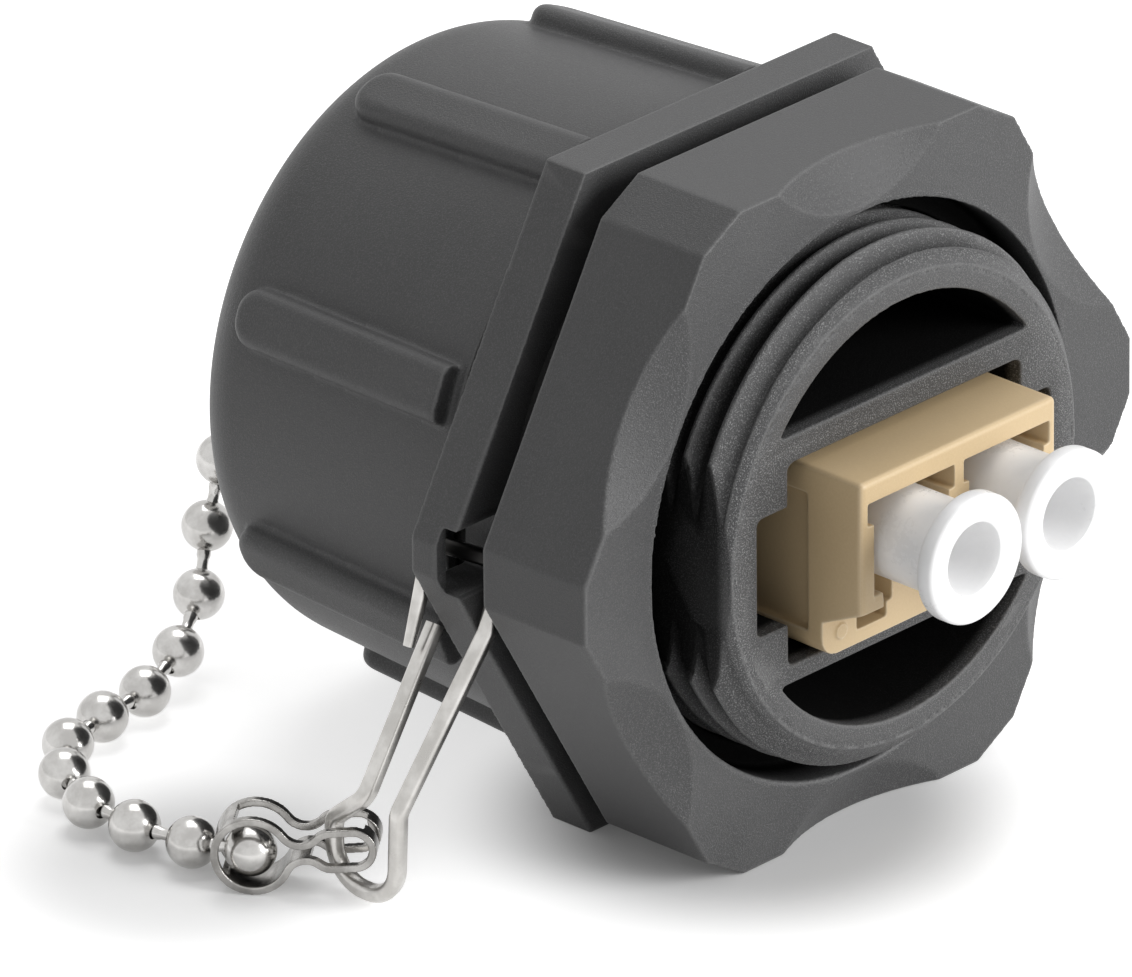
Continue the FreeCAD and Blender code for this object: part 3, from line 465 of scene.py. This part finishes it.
shell = dict(flats=32.5, flangeBack=2.4, cornerCut=-18.3, lap=0.5,
             barrel=12.5, root=11.58, barrelEnd=-10.55, chamfer=1.25, flat=11.3,
             pitch=1.5, firstCrest=-9.25, threadTurns=6, crest=0.12, foot=0.66, threadRoom=0.01,
             faceLine=11.1, faceLineWidth=0.16, faceLineDepth=0.16,
             reliefRadius=10.15, reliefEdge=6.05, reliefFloor=0.45, reliefCorner=0.45,
             window=(-7.65, 7.65, -5.15, 4.7), windowFloor=1.1, windowCorner=0.35,
             ears=(-9.65, 9.65, -3.1, 2.65), passage=(-6.5, 6.5, -5.1, 4.38), passageEnd=4.2,
             slot=(-17.6, -14.8, -1.6, 1.6), notch=(-19.3, -14.8, -1.6, 1.6), notchDepth=0.9,
             spigot=13.3, spigotRoot=12.75, spigotBore=11.7, spigotFloor=4.0, spigotEnd=15.4,
             spigotPitch=3.0, spigotStart=3.0, spigotTurns=3, spigotFoot=1.1, spigotCrest=0.55,
             coarse=dict(flange=0.1, face=0.4, thread=0.9, inside=0.6, web=0.2, flangeFrom=-0.3),
             shade=dict(flange=0.6, web=0.22, flat=0.95, groove=0.92, start=0.3, fade=1.4, grooveFade=0.6,
                        flangeRim=0.6),
             voxel=0.1, passes=3, most=190000)


def openingBlock(name, sides, front, back, corner=0.0):
    left, right, low, high = sides
    block = addBlock(name, (left, front, low), (right, back, high))
    if corner:
        roundEdges(block, alongY, corner, 5)
    return block


def shellCoarse(place):
    s, coarse = shell, shell["coarse"]
    web = s["reliefEdge"] + coarse["web"]
    if place.y > coarse["flangeFrom"]:
        return coarse["flange"]
    if place.y < s["barrelEnd"] + skin and abs(place.z) > web:
        return coarse["face"]
    return coarse["thread"] if place.xz.length > s["faceLine"] or abs(place.z) < web else coarse["inside"]


# painted shade on the adapter body: darker deeper into the face recesses, on the side flats and in the thread
# grooves, and on the flange face behind the nut
def shellPaintedShade(place):
    s, shade = shell, shell["shade"]
    out = place.xz.length
    if place.y > -skin:
        return shade["flange"] if place.y < skin and out < s["flats"] / 2 - shade["flangeRim"] else 0.0
    depth = min(1.0, max(0.0, (place.y - s["barrelEnd"] - shade["start"]) / shade["fade"]))
    if out < s["reliefRadius"] + skin:
        return depth if depth > 0.0 else shade["web"] * (abs(place.z) < s["reliefEdge"] + hair)
    if abs(place.x) > s["flat"] - hair and out < s["barrel"] - hair:
        return shade["flat"] * depth
    return shade["groove"] * depth * min(1.0, max(0.0, (s["barrel"] - skin - out) / shade["grooveFade"]))


def makeBody():
    s = shell
    flange = addDrum("adapterShell", s["flats"] / math.sqrt(3), 0.0, s["flangeBack"], sides=6,
                     turn=math.radians(30))
    sliceOff(flange, (s["cornerCut"], 0, 0), (-1, 0, 0))
    core = addDrum("core", s["root"], s["barrelEnd"], s["lap"])
    roundEdges(core, rimAt(s["barrelEnd"], s["root"]), s["root"] - (s["barrel"] - s["chamfer"]), 1)
    for side in (1, -1):
        sliceOff(core, (side * s["flat"], 0, 0), (side, 0, 0))
    spigot = addDrum("spigot", s["spigotRoot"], s["flangeBack"] - s["lap"], s["spigotEnd"])
    cutAway(spigot, addDrum("bore", s["spigotBore"], s["spigotFloor"], s["spigotEnd"] + beyond))
    fuse(flange, core, spigot)

    outside = s["barrelEnd"] - beyond
    reliefs = []
    for side in (1, -1):
        relief = addDrum("relief", s["reliefRadius"], outside, s["reliefFloor"], sides=200)
        sliceOff(relief, (0, 0, side * s["reliefEdge"]), (0, 0, -side))
        corners = lambda a, b: alongY(a, b) and abs(a.z - side * s["reliefEdge"]) < near
        roundEdges(relief, corners, s["reliefCorner"], 5)
        reliefs.append(relief)
    cutAway(flange, *reliefs)
    cutAway(flange, openingBlock("window", s["window"], outside, s["windowFloor"], s["windowCorner"]),
            openingBlock("earRoom", s["ears"], outside, s["windowFloor"], s["windowCorner"]),
            openingBlock("passage", s["passage"], outside, s["passageEnd"]),
            openingBlock("slot", s["slot"], -beyond, s["flangeBack"] + beyond),
            openingBlock("notch", s["notch"], -beyond, s["notchDepth"]))
    lineFloor = s["barrelEnd"] + s["faceLineDepth"]
    line = addDrum("line", s["faceLine"] + s["faceLineWidth"] / 2, outside, lineFloor)
    cutAway(line, addDrum("lineCore", s["faceLine"] - s["faceLineWidth"] / 2, outside - beyond, 0))
    cutAway(flange, line)

    thread = screwRidge("thread", threadProfile(s["root"], s["barrel"], s["foot"], s["crest"]),
                        s["pitch"], s["firstCrest"] - s["pitch"], s["threadTurns"] + 1)
    room = s["barrel"] + s["threadRoom"]
    envelope = addDrum("envelope", room, s["barrelEnd"], s["lap"])
    roundEdges(envelope, rimAt(s["barrelEnd"], room), s["chamfer"], 1)
    useModifier(thread, "BOOLEAN", operation="INTERSECT", solver="EXACT", object=envelope)
    bpy.data.objects.remove(envelope)
    for side in (1, -1):
        sliceOff(thread, (side * s["flat"], 0, 0), (side, 0, 0))
    capProfile = threadProfile(s["spigotRoot"], s["spigot"], s["spigotFoot"], s["spigotCrest"])
    capThread = screwRidge("capThread", capProfile, s["spigotPitch"], s["flangeBack"] + s["spigotStart"],
                           s["spigotTurns"])
    joinInto(flange, thread, capThread)
    mould(flange, s["voxel"], s["passes"], s["most"])
    mark(flange, "coarse", shellCoarse)
    # painted shade mark for the adapter body
    mark(flange, "paintedShade", shellPaintedShade)
    markEdges(flange)
    return hand(flange, "adapter", "body_plastic", barrelPlastic, "adapter_body")


# panel nut: hexagon with corner facets, a wider mouth and six finger scallops

nut = dict(flats=32.5, front=-7.9, back=-1.65, cornerCut=17.954, bore=12.55, mouth=13.6, mouthFloor=-5.5,
           scallopRadius=13.15, scallopOut=20.89, scallopAhead=-19.004, scallopNear=0.12,
           coarse=dict(scallop=0.26, mouth=0.4, front=0.14, sides=0.06, mouthRim=0.3),
           shade=dict(back=0.6, backRim=0.6, start=0.2, fade=1.6), voxel=0.1, passes=4, most=150000)


def nutCoarse(place, balls):
    n, coarse = nut, nut["coarse"]
    if any(abs((place - ball).length - n["scallopRadius"]) < n["scallopNear"] for ball in balls):
        return coarse["scallop"]
    if place.xz.length < n["mouth"] + coarse["mouthRim"]:
        return coarse["mouth"]
    return coarse["front"] if place.y < n["front"] + hair else coarse["sides"]


# painted shade on the nut: darker deeper in its mouth and on its back face against the flange
def nutPaintedShade(place):
    n, shade = nut, nut["shade"]
    if place.y > n["back"] - skin:
        return shade["back"] if place.xz.length < n["flats"] / 2 - shade["backRim"] else 0.0
    if place.xz.length > n["mouth"] + hair:
        return 0.0
    return min(1.0, max(0.0, (place.y - n["front"] - shade["start"]) / shade["fade"]))


def makeNut():
    n = nut
    corner = n["flats"] / math.sqrt(3)
    ring = addDrum("panelNut", corner, n["front"], n["back"], sides=6, turn=math.radians(30))
    roundEdges(ring, alongY, (corner - n["cornerCut"]) * 2, 1)
    cutAway(ring, addDrum("bore", n["bore"], n["front"] - beyond, n["back"] + beyond, sides=200))
    cutAway(ring, addDrum("mouth", n["mouth"], n["front"] - beyond, n["mouthFloor"], sides=200))
    balls = []
    ahead = Vector((0, n["scallopAhead"], 0))
    for turn in range(6):
        angle = math.radians(60 * turn)
        balls.append(Vector((math.sin(angle), 0, math.cos(angle))) * n["scallopOut"] + ahead)
        cutAway(ring, addBall("scallop", n["scallopRadius"], balls[-1]))
    mould(ring, n["voxel"], n["passes"], n["most"])
    mark(ring, "coarse", lambda place: nutCoarse(place, balls))
    # painted shade mark for the nut
    mark(ring, "paintedShade", nutPaintedShade)
    markEdges(ring)
    return hand(ring, "nut", "body_plastic", bodyPlastic, "panel_nut")


# protective cap: tapered cup with a rounded shoulder and eight grip ribs

cap = dict(rim=15.4, rimAt=3.1, rear=20.4, taper=0.0532, shoulder=3.2, sealRoom=14.7, sealDepth=1.3,
           inner=13.35, innerEnd=18.8, rivetHole=1.1, ribs=8, ribWidth=2.8, ribHeight=1.0, ribStart=0.55,
           ribLength=14.0, ribRoot=0.8, ribEnd=1.25, ribCrown=0.62, firstRib=22.5, coarse=0.1,
           voxel=0.12, passes=8, most=160000)


def makeCap():
    c = cap
    rearRadius = c["rim"] - c["taper"] * (c["rear"] - c["rimAt"])
    cup = addDrum("protectiveCap", rearRadius, c["rimAt"], c["rear"], tip=c["rim"], sides=192)
    roundEdges(cup, rimAt(c["rear"], rearRadius), c["shoulder"], 10)
    insetFaces(cup, endFace(c["rimAt"], -1), c["rim"] - c["sealRoom"])
    pushFaces(cup, lambda centre, normal: endFace(c["rimAt"], -1)(centre, normal) and centre.xz.length < 1,
              (0, c["sealDepth"], 0))
    seat = c["rimAt"] + c["sealDepth"]
    insetFaces(cup, endFace(seat, -1), c["sealRoom"] - c["inner"])
    pushFaces(cup, lambda centre, normal: endFace(seat, -1)(centre, normal) and centre.xz.length < 1,
              (0, c["innerEnd"] - seat, 0))
    cutAway(cup, addDrum("rivetHole", c["rivetHole"], c["innerEnd"] - beyond, c["rear"] + beyond, sides=48))
    rib = addBlock("rib", (-c["ribWidth"] / 2, c["ribStart"], -c["ribRoot"]),
                   (c["ribWidth"] / 2, c["ribLength"], c["ribHeight"]))
    roundEdges(rib, lambda a, b: abs(a.x - b.x) < near and abs(a.y - b.y) < near and a.y > 1, c["ribEnd"], 8)
    foot = c["ribStart"] + near
    crown = lambda a, b: min(a.z, b.z) > c["ribHeight"] - near and max(a.y, b.y) > foot
    roundEdges(rib, crown, c["ribCrown"], 5)
    ribs = []
    for turn in range(c["ribs"]):
        lean = Matrix.Rotation(-math.atan(c["taper"]), 4, "X")
        spread = Matrix.Rotation(math.radians(c["firstRib"] + 360 * turn / c["ribs"]), 4, "Y")
        ribs.append(copyTurned(rib, "rib", spread @ Matrix.Translation((0, c["rimAt"], c["rim"])) @ lean))
    bpy.data.objects.remove(rib)
    joinInto(cup, *ribs)
    mould(cup, c["voxel"], c["passes"], c["most"])
    mark(cup, "coarse", lambda place: c["coarse"])
    markEdges(cup)
    return hand(cup, "cap", "body_plastic", bodyPlastic, "protective_cap")


# port housing: beige front half with two ports, latch slots and a set-back latch wall

port = dict(half=6.4, top=4.28, bottom=-5.0, front=-13.8, joint=-0.4, latchTop=-2.1, latchFront=-11.4,
            lowRound=1.0, boxLow=-3.3, underside=(0, -0.417, -0.909), edge=0.24,
            catchReach=4.95, catchLow=-2.9, catchHigh=-1.4, catchBack=-12.3, catchWidth=0.8, lap=0.02,
            dip=(-1.0, 0.93), dipLow=-4.3, ears=9.4, earTop=2.4, earBottom=-2.9, earFront=-1.9,
            centre=3.125, rise=0.78, opening=2.45, head=2.825, headLow=2.13, openTop=3.23, openLow=-1.67,
            portEnd=-3.4, latchSlot=1.3, latchLow=-3.57, latchEnd=-5.8, holder=1.5, holderFront=-9.0,
            holderRoot=0.5, mouth=0.7, mouthTip=0.95, mouthLap=0.03, sleeveRoom=0.83, sleeveFront=-6.13,
            recess=(-10.5, -2.2, -3.8, 2.9), recessDepth=0.35, ejector=(-5.21, -3.96), ejectorRadius=0.46,
            ejectorRise=0.13, ejectorRoot=0.3, ejectorTaper=0.1, voxel=0.06, passes=4, most=120000)


def makeHousing():
    p = port
    box = addBlock("portHousing", (-p["half"], p["front"], p["boxLow"]), (p["half"], p["joint"], p["top"]))
    roundEdges(box, lambda a, b: alongY(a, b) and a.z > p["top"] - near, p["edge"], 3)
    roundEdges(box, lambda a, b: max(a.y, b.y) < p["front"] + near, p["edge"], 3)
    lower = addBlock("lower", (-p["half"], p["latchFront"], p["bottom"]),
                     (p["half"], p["joint"], p["latchTop"]))
    roundEdges(lower, lambda a, b: alongY(a, b) and a.z < p["bottom"] + near, p["lowRound"], 6)
    sliceOff(box, (0, p["front"], p["latchTop"]), p["underside"])
    ears = addBlock("ears", (-p["ears"], p["earFront"], p["earBottom"]), (p["ears"], p["joint"], p["earTop"]))
    fuse(box, lower, ears)
    outside = p["front"] - beyond
    for side in (-1, 1):
        middle = side * p["centre"]
        cutAway(box,
                addBlock("port", (middle - p["opening"], outside, p["openLow"]),
                         (middle + p["opening"], p["portEnd"], p["openTop"])),
                addBlock("head", (middle - p["head"], outside, p["headLow"]),
                         (middle + p["head"], p["portEnd"], p["openTop"])),
                addBlock("latchSlot", (middle - p["latchSlot"], outside, p["latchLow"]),
                         (middle + p["latchSlot"], p["latchEnd"], p["rise"])),
                addBlock("latchDip", (middle + p["dip"][0], outside, p["dipLow"]),
                         (middle + p["dip"][1], p["latchEnd"], p["rise"])))
        front, back, low, high = p["recess"]
        wall = side * (p["half"] - p["recessDepth"])
        left, right = sorted((wall, wall + side))
        cutAway(box, addBlock("recess", (left, front, low), (right, back, high)))
    reach = p["catchReach"]
    cutAway(box, addBlock("mouthLow", (-reach, outside, p["bottom"]),
                          (reach, p["latchFront"], p["openLow"] + p["lap"])))
    for side in (-1, 1):
        left, right = sorted((side * reach, side * (reach + p["catchWidth"])))
        catch = addBlock("catch", (left, p["front"] + p["lap"], p["catchLow"]),
                         (right, p["catchBack"], p["catchHigh"]))
        sliceOff(catch, (0, p["front"], p["latchTop"]), p["underside"])
        fuse(box, catch)
    spot = addDrum("spot", p["ejectorRadius"], p["latchFront"] - p["ejectorRise"],
                   p["latchFront"] + p["ejectorRoot"], tip=p["ejectorRadius"] - p["ejectorTaper"], sides=32,
                   at=p["ejector"])
    fuse(box, spot)
    for side in (-1, 1):
        at = (side * p["centre"], p["rise"])
        fuse(box, addDrum("holder", p["holder"], p["holderFront"], p["portEnd"] + p["holderRoot"], sides=64,
                          at=at))
        cutAway(box, addDrum("mouth", p["mouth"], p["holderFront"] - near, p["sleeveFront"] + p["mouthLap"],
                             tip=p["mouthTip"], sides=48, at=at),
                addDrum("sleeveRoom", p["sleeveRoom"], p["sleeveFront"], p["joint"] + beyond, sides=48, at=at))
    mould(box, p["voxel"], p["passes"], p["most"])
    markEdges(box)
    return hand(box, "adapter", "housing_plastic", beigePlastic, "housing_front")


# dust plugs

plug = dict(flange=3.05, tip=-17.7, shoulder=-16.8, stem=2.2, innerEnd=-6.5, bore=1.55, boreFloor=-12.7,
            grip=1.55, gripFloor=-9.7, centre=3.125, rise=0.78, edge=0.18, edgeSteps=5, funnel=0.6,
            funnelSteps=2, innerEdge=0.2, sides=96)


def makePlugs():
    p = plug
    stopper = addDrum("stopper", p["flange"], p["tip"], p["shoulder"], sides=p["sides"])
    insetFaces(stopper, endFace(p["shoulder"], 1), p["flange"] - p["stem"])
    inner = lambda y, way: (lambda centre, normal: endFace(y, way)(centre, normal) and centre.xz.length < 0.5)
    pushFaces(stopper, inner(p["shoulder"], 1), (0, p["innerEnd"] - p["shoulder"], 0))
    insetFaces(stopper, endFace(p["innerEnd"], 1), p["stem"] - p["grip"])
    pushFaces(stopper, inner(p["innerEnd"], 1), (0, p["gripFloor"] - p["innerEnd"], 0))
    insetFaces(stopper, endFace(p["tip"], -1), p["flange"] - p["bore"])
    pushFaces(stopper, inner(p["tip"], -1), (0, p["boreFloor"] - p["tip"], 0))
    for y, radius, width in ((p["tip"], p["flange"], p["edge"]), (p["shoulder"], p["flange"], p["edge"]),
                             (p["tip"], p["bore"], p["funnel"]), (p["innerEnd"], p["stem"], p["edge"]),
                             (p["shoulder"], p["stem"], p["innerEdge"]),
                             (p["boreFloor"], p["bore"], p["edge"])):
        steps = p["funnelSteps"] if width == p["funnel"] else p["edgeSteps"]
        roundEdges(stopper, rimAt(y, radius), width, steps)
    for side, name in ((-1, "Left"), (1, "Right")):
        twin = copyTurned(stopper, "dustPlug" + name, Matrix.Translation((side * p["centre"], 0, p["rise"])))
        low = name.lower()
        hand(twin, "plug_" + low, "plug_plastic", whitePlastic, "dust_plug_" + low, angle=40)
    bpy.data.objects.remove(stopper)


# wire loop: one bent spring wire

wire = dict(half=0.385, corner=0.25, tail=0.62,
            route=[(-17.85, 3.025, -4.9), (-16.25, 3.025, -0.3), (-15.5, -0.625, -0.5), (-16.6, -0.625, -3.4),
                   (-21.2, 0.55, -11.2), (-21.0, 0.95, -15.775), (-21.0, 4.75, -15.775), (-21.0, 4.75, -12.8),
                   (-20.9, 2.85, -11.2), (-16.15, 3.025, -4.4)],
            bends=[0.8, 0.8, 0.8, 0.8, 1.85, 1.85, 0.8, 0.8], steps=10)


def makeWire():
    w = wire
    points = [Vector(place) for place in w["route"]]
    startFresh()
    line = bpy.data.curves.new("wireLine", "CURVE")
    line.dimensions = "3D"
    run = line.splines.new("POLY")
    run.points.add(len(points) - 1)
    for spot, place in zip(run.points, points):
        spot.co = (*place, 1)
    loop = bpy.data.objects.new("wireLoop", line)
    bpy.context.scene.collection.objects.link(loop)
    makeActive(loop)
    bpy.ops.object.convert(target="MESH")
    loop = bpy.context.object
    for before, here, after, bend in zip(points, points[1:], points[2:], w["bends"]):
        turn = (here - before).angle(after - here)
        mesh = openEdit(loop, "VERT")
        for vertex in mesh.verts:
            vertex.select_set((vertex.co - here).length < 1e-4)
        bmesh.update_edit_mesh(loop.data)
        bpy.ops.mesh.bevel(offset=bend * math.tan(turn / 2), segments=w["steps"], profile=0.5,
                           affect="VERTICES", clamp_overlap=False)
        closeEdit()
    startFresh()
    bpy.ops.mesh.primitive_plane_add(size=2 * w["half"])
    section = settle("section")
    openEdit(section, "VERT")
    bpy.ops.mesh.select_all(action="SELECT")
    bpy.ops.mesh.bevel(offset=w["corner"], segments=5, affect="VERTICES")
    bpy.ops.mesh.delete(type="ONLY_FACE")
    closeEdit()
    for line in (section, loop):
        makeActive(line)
        bpy.ops.object.convert(target="CURVE")
    ends = loop.data.splines[0].points
    tail = min(ends, key=lambda spot: (spot.co.xyz - points[0]).length)
    tail.radius = w["tail"]
    loop.data.bevel_mode = "OBJECT"
    loop.data.bevel_object = section
    loop.data.use_fill_caps = True
    bpy.ops.object.convert(target="MESH")
    loop = bpy.context.object
    bpy.data.objects.remove(section)
    return hand(loop, "wire", "chain_nickel", wireNickel, "wire_loop", angle=50)


# chain: pressed beads, dumbbell links, and the sheet parts at its ends

chain = dict(ball=1.2, hole=0.31, sink=0.16, holeTaper=(0.86, 0.86, 0.2), segments=40, rings=24,
             link=0.33, waist=0.27, waistReach=0.2, linkCuts=(-0.3, -0.15, 0.0, 0.15, 0.3),
             clear=-0.043, reachIn=0.35)


def bodyOf(node):
    return next(body for body, members in frame["record"]["behaviour"]["bodies"].items() if node in members)


def middleOf(node):
    low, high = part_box(node)
    return (low + high) / (2 * mm)


def makeBead():
    c = chain
    bead = addBall("bead", c["ball"], (0, 0, 0), c["segments"], c["rings"])
    rim = math.sqrt(c["ball"] ** 2 - c["hole"] ** 2)
    for side in (1, -1):
        pickFaces(bead, lambda centre, normal: centre.z * side > 0 and centre.xy.length < c["hole"])
        bpy.ops.mesh.extrude_region_move(TRANSFORM_OT_translate={"value": (0, 0, -side * c["sink"])})
        bpy.ops.transform.resize(value=c["holeTaper"], center_override=(0, 0, side * (rim - c["sink"])))
        closeEdit()
    return bead


def makeLink():
    c = chain
    startFresh()
    bpy.ops.mesh.primitive_cylinder_add(vertices=24, radius=c["link"], depth=1.0)
    link = settle("link")
    openEdit(link, "FACE")
    for cut in c["linkCuts"]:
        bpy.ops.mesh.select_all(action="SELECT")
        bpy.ops.mesh.bisect(plane_co=(0, 0, cut), plane_no=(0, 0, 1))
    closeEdit()
    mesh = openEdit(link, "VERT")
    for vertex in mesh.verts:
        vertex.select_set(abs(vertex.co.z) < c["waistReach"])
    bmesh.update_edit_mesh(link.data)
    share = c["waist"] / c["link"]
    bpy.ops.transform.resize(value=(share, share, 1), center_override=(0, 0, 0))
    closeEdit()
    return link


def makeChain():
    c = chain
    bead, link = makeBead(), makeLink()
    count = sum(1 for name in nodes if name.startswith("chain_ball_"))
    places = [middleOf(f"chain_ball_{i + 1:02d}") for i in range(count)]
    for i, place in enumerate(places):
        ahead = places[min(i + 1, count - 1)] - places[max(i - 1, 0)]
        turn = ahead.to_track_quat("Z", "Y").to_matrix().to_4x4()
        node = f"chain_ball_{i + 1:02d}"
        twin = copyTurned(bead, f"bead{i + 1:02d}", Matrix.Translation(place) @ turn)
        hand(twin, bodyOf(node), "chain_nickel", chainNickel, node, angle=35)
    for i in range(count - 1):
        start, end = places[i], places[i + 1]
        way = (end - start).normalized()
        first = start + way * (c["ball"] + c["clear"])
        last = end - way * (c["ball"] - c["reachIn"])
        stretch = Matrix.Diagonal((1, 1, (last - first).length, 1))
        turn = way.to_track_quat("Z", "Y").to_matrix().to_4x4()
        node = f"chain_link_{i + 1:02d}"
        twin = copyTurned(link, f"link{i + 1:02d}", Matrix.Translation((first + last) / 2) @ turn @ stretch)
        hand(twin, bodyOf(node), "chain_nickel", chainNickel, node, angle=40)
    bpy.data.objects.remove(bead)
    bpy.data.objects.remove(link)


sheet = dict(clasp=dict(voxel=0.045, passes=4, most=60000), swivel=dict(voxel=0.06, passes=4, most=30000),
             rivet=dict(voxel=0.06, passes=4, most=20000))


def softened(node, name, voxel, passes, most):
    # the CAD shape again, welded, with its edges softened
    twin = copyTurned(nodes[node], name, Matrix.Scale(1 / mm, 4))
    twin.parent = None
    for key in list(twin.keys()):
        del twin[key]
    openEdit(twin, "VERT")
    bpy.ops.mesh.select_all(action="SELECT")
    bpy.ops.mesh.remove_doubles(threshold=1e-4)
    closeEdit()
    mould(twin, voxel, passes, most)
    return twin


def makeSheetParts():
    clasp = softened("chain_clasp", "chainClasp", **sheet["clasp"])
    hand(clasp, "clasp", "chain_nickel", claspNickel, "chain_clasp")
    swivel = softened("chain_swivel", "chainSwivel", **sheet["swivel"])
    hand(swivel, bodyOf("chain_swivel"), "chain_nickel", chainNickel, "chain_swivel")
    rivet = softened("cap_rivet", "capRivet", **sheet["rivet"])
    hand(rivet, bodyOf("cap_rivet"), "chain_nickel", chainNickel, "cap_rivet")


makeBody()
makeNut()
makeCap()
makeHousing()
makePlugs()
makeWire()
makeChain()
makeSheetParts()

for name, finish in (("panel_gasket", sealRubber), ("cap_seal", sealRubber), ("housing_rear", beigePlastic),
                     ("split_sleeve_left", sleeveCeramic), ("split_sleeve_right", sleeveCeramic)):
    nodes[name].data.materials.clear()
    nodes[name].data.materials.append(finish)
print("all pieces made")


# floor, light and camera

# the floor's shades are painted shadow pools, fixed in place
stage = dict(floor=-16.25, drop=0.00002, size=7.2, floorColour=(0.8, 0.8, 0.8), glow=0.66,
             shades=(dict(place=(-3.0, -4.0, -16.25), start=6.5, end=14.5, low=0.08),
                     dict(place=(-25.0, 11.0, -16.25), start=4.0, end=12.0, low=0.3)),
             top=dict(place=(0.20, 0.18, 0.63), size=0.4, watts=1.65),
             front=dict(place=(0.30, -0.75, 0.30), size=0.5, watts=6.6),
             world=0.33)


def backdropShare(at):
    # the white backdrop is seen by the camera and in metal; it doesn't light the object
    flags = [at.add("ShaderNodeLightPath", {}, {}, out=name)
             for name in ("Is Camera Ray", "Is Glossy Ray", "Is Transmission Ray")]
    return at.maths("MINIMUM", flags[0] + flags[1] + flags[2], 1.0)


def makeFloor():
    startFresh()
    bpy.ops.mesh.primitive_grid_add(x_subdivisions=4, y_subdivisions=4, size=stage["size"],
                                    location=(0, 0, stage["floor"] * mm - stage["drop"]))
    floor = settle("studioFloor")
    material, at = newFinish("paleFloor")
    share = backdropShare(at)
    # painted shadow: around each of these places the floor's glow drops, greying the floor near the object and
    # the chain at rest
    for shade in stage["shades"]:
        clear = at.awayFrom(shade["place"]).between(shade["start"] * mm, shade["end"] * mm)
        share = share * (shade["low"] + (1.0 - shade["low"]) * clear)
    glow = share.tint((0, 0, 0), (1, 1, 1))
    dress(material, Base_Color=(*stage["floorColour"], 1.0), Roughness=0.9, Specular_IOR_Level=0.0,
          Emission_Color=glow, Emission_Strength=stage["glow"])
    floor.data.materials.append(material)


def makeLight(name, look):
    lamp = bpy.data.lights.new(name, "AREA")
    lamp.size = look["size"]
    lamp.energy = look["watts"]
    holder = bpy.data.objects.new(name, lamp)
    holder.location = look["place"]
    holder.rotation_euler = (-Vector(look["place"])).to_track_quat("-Z", "Y").to_euler()
    bpy.context.scene.collection.objects.link(holder)


def makeWorld():
    world = bpy.data.worlds.new("softRoom")
    bpy.context.scene.world = world
    world.use_nodes = True
    tree = world.node_tree
    ground = tree.nodes["Background"]
    strength = stage["world"] + (1.0 - stage["world"]) * backdropShare(Tap(tree, None))
    tree.links.new(strength.socket, ground.inputs["Strength"])
    ground.inputs["Color"].default_value = (1, 1, 1, 1)


view = dict(azimuth=-46.355, elevation=25.141, roll=-0.574, distance=875.81, right=-7.437, up=-2.175,
            pixels=19537.99, frameWidth=1132, sensor=36.0)


def makeCamera():
    turn, lift, tilt = (math.radians(view[key]) for key in ("azimuth", "elevation", "roll"))
    back = Vector((math.sin(turn) * math.cos(lift), -math.cos(turn) * math.cos(lift), math.sin(lift)))
    side = Vector((math.cos(turn), math.sin(turn), 0))
    rise = back.cross(side)
    right = side * math.cos(tilt) + rise * math.sin(tilt)
    up = rise * math.cos(tilt) - side * math.sin(tilt)
    lens = bpy.data.cameras.new("photoCamera")
    lens.sensor_width = view["sensor"]
    lens.lens = view["pixels"] * view["sensor"] / view["frameWidth"]
    lens.clip_start, lens.clip_end = 0.05, 20.0
    camera = bpy.data.objects.new("photoCamera", lens)
    place = (back * view["distance"] + right * view["right"] + up * view["up"]) * mm
    axes = Matrix((right, up, back)).transposed().to_4x4()
    camera.matrix_world = Matrix.Translation(place) @ axes
    bpy.context.scene.collection.objects.link(camera)
    bpy.context.scene.camera = camera


makeFloor()
makeLight("topLight", stage["top"])
makeLight("frontLight", stage["front"])
makeWorld()
makeCamera()
bpy.context.scene.view_settings.view_transform = "Standard"
print("stage set")
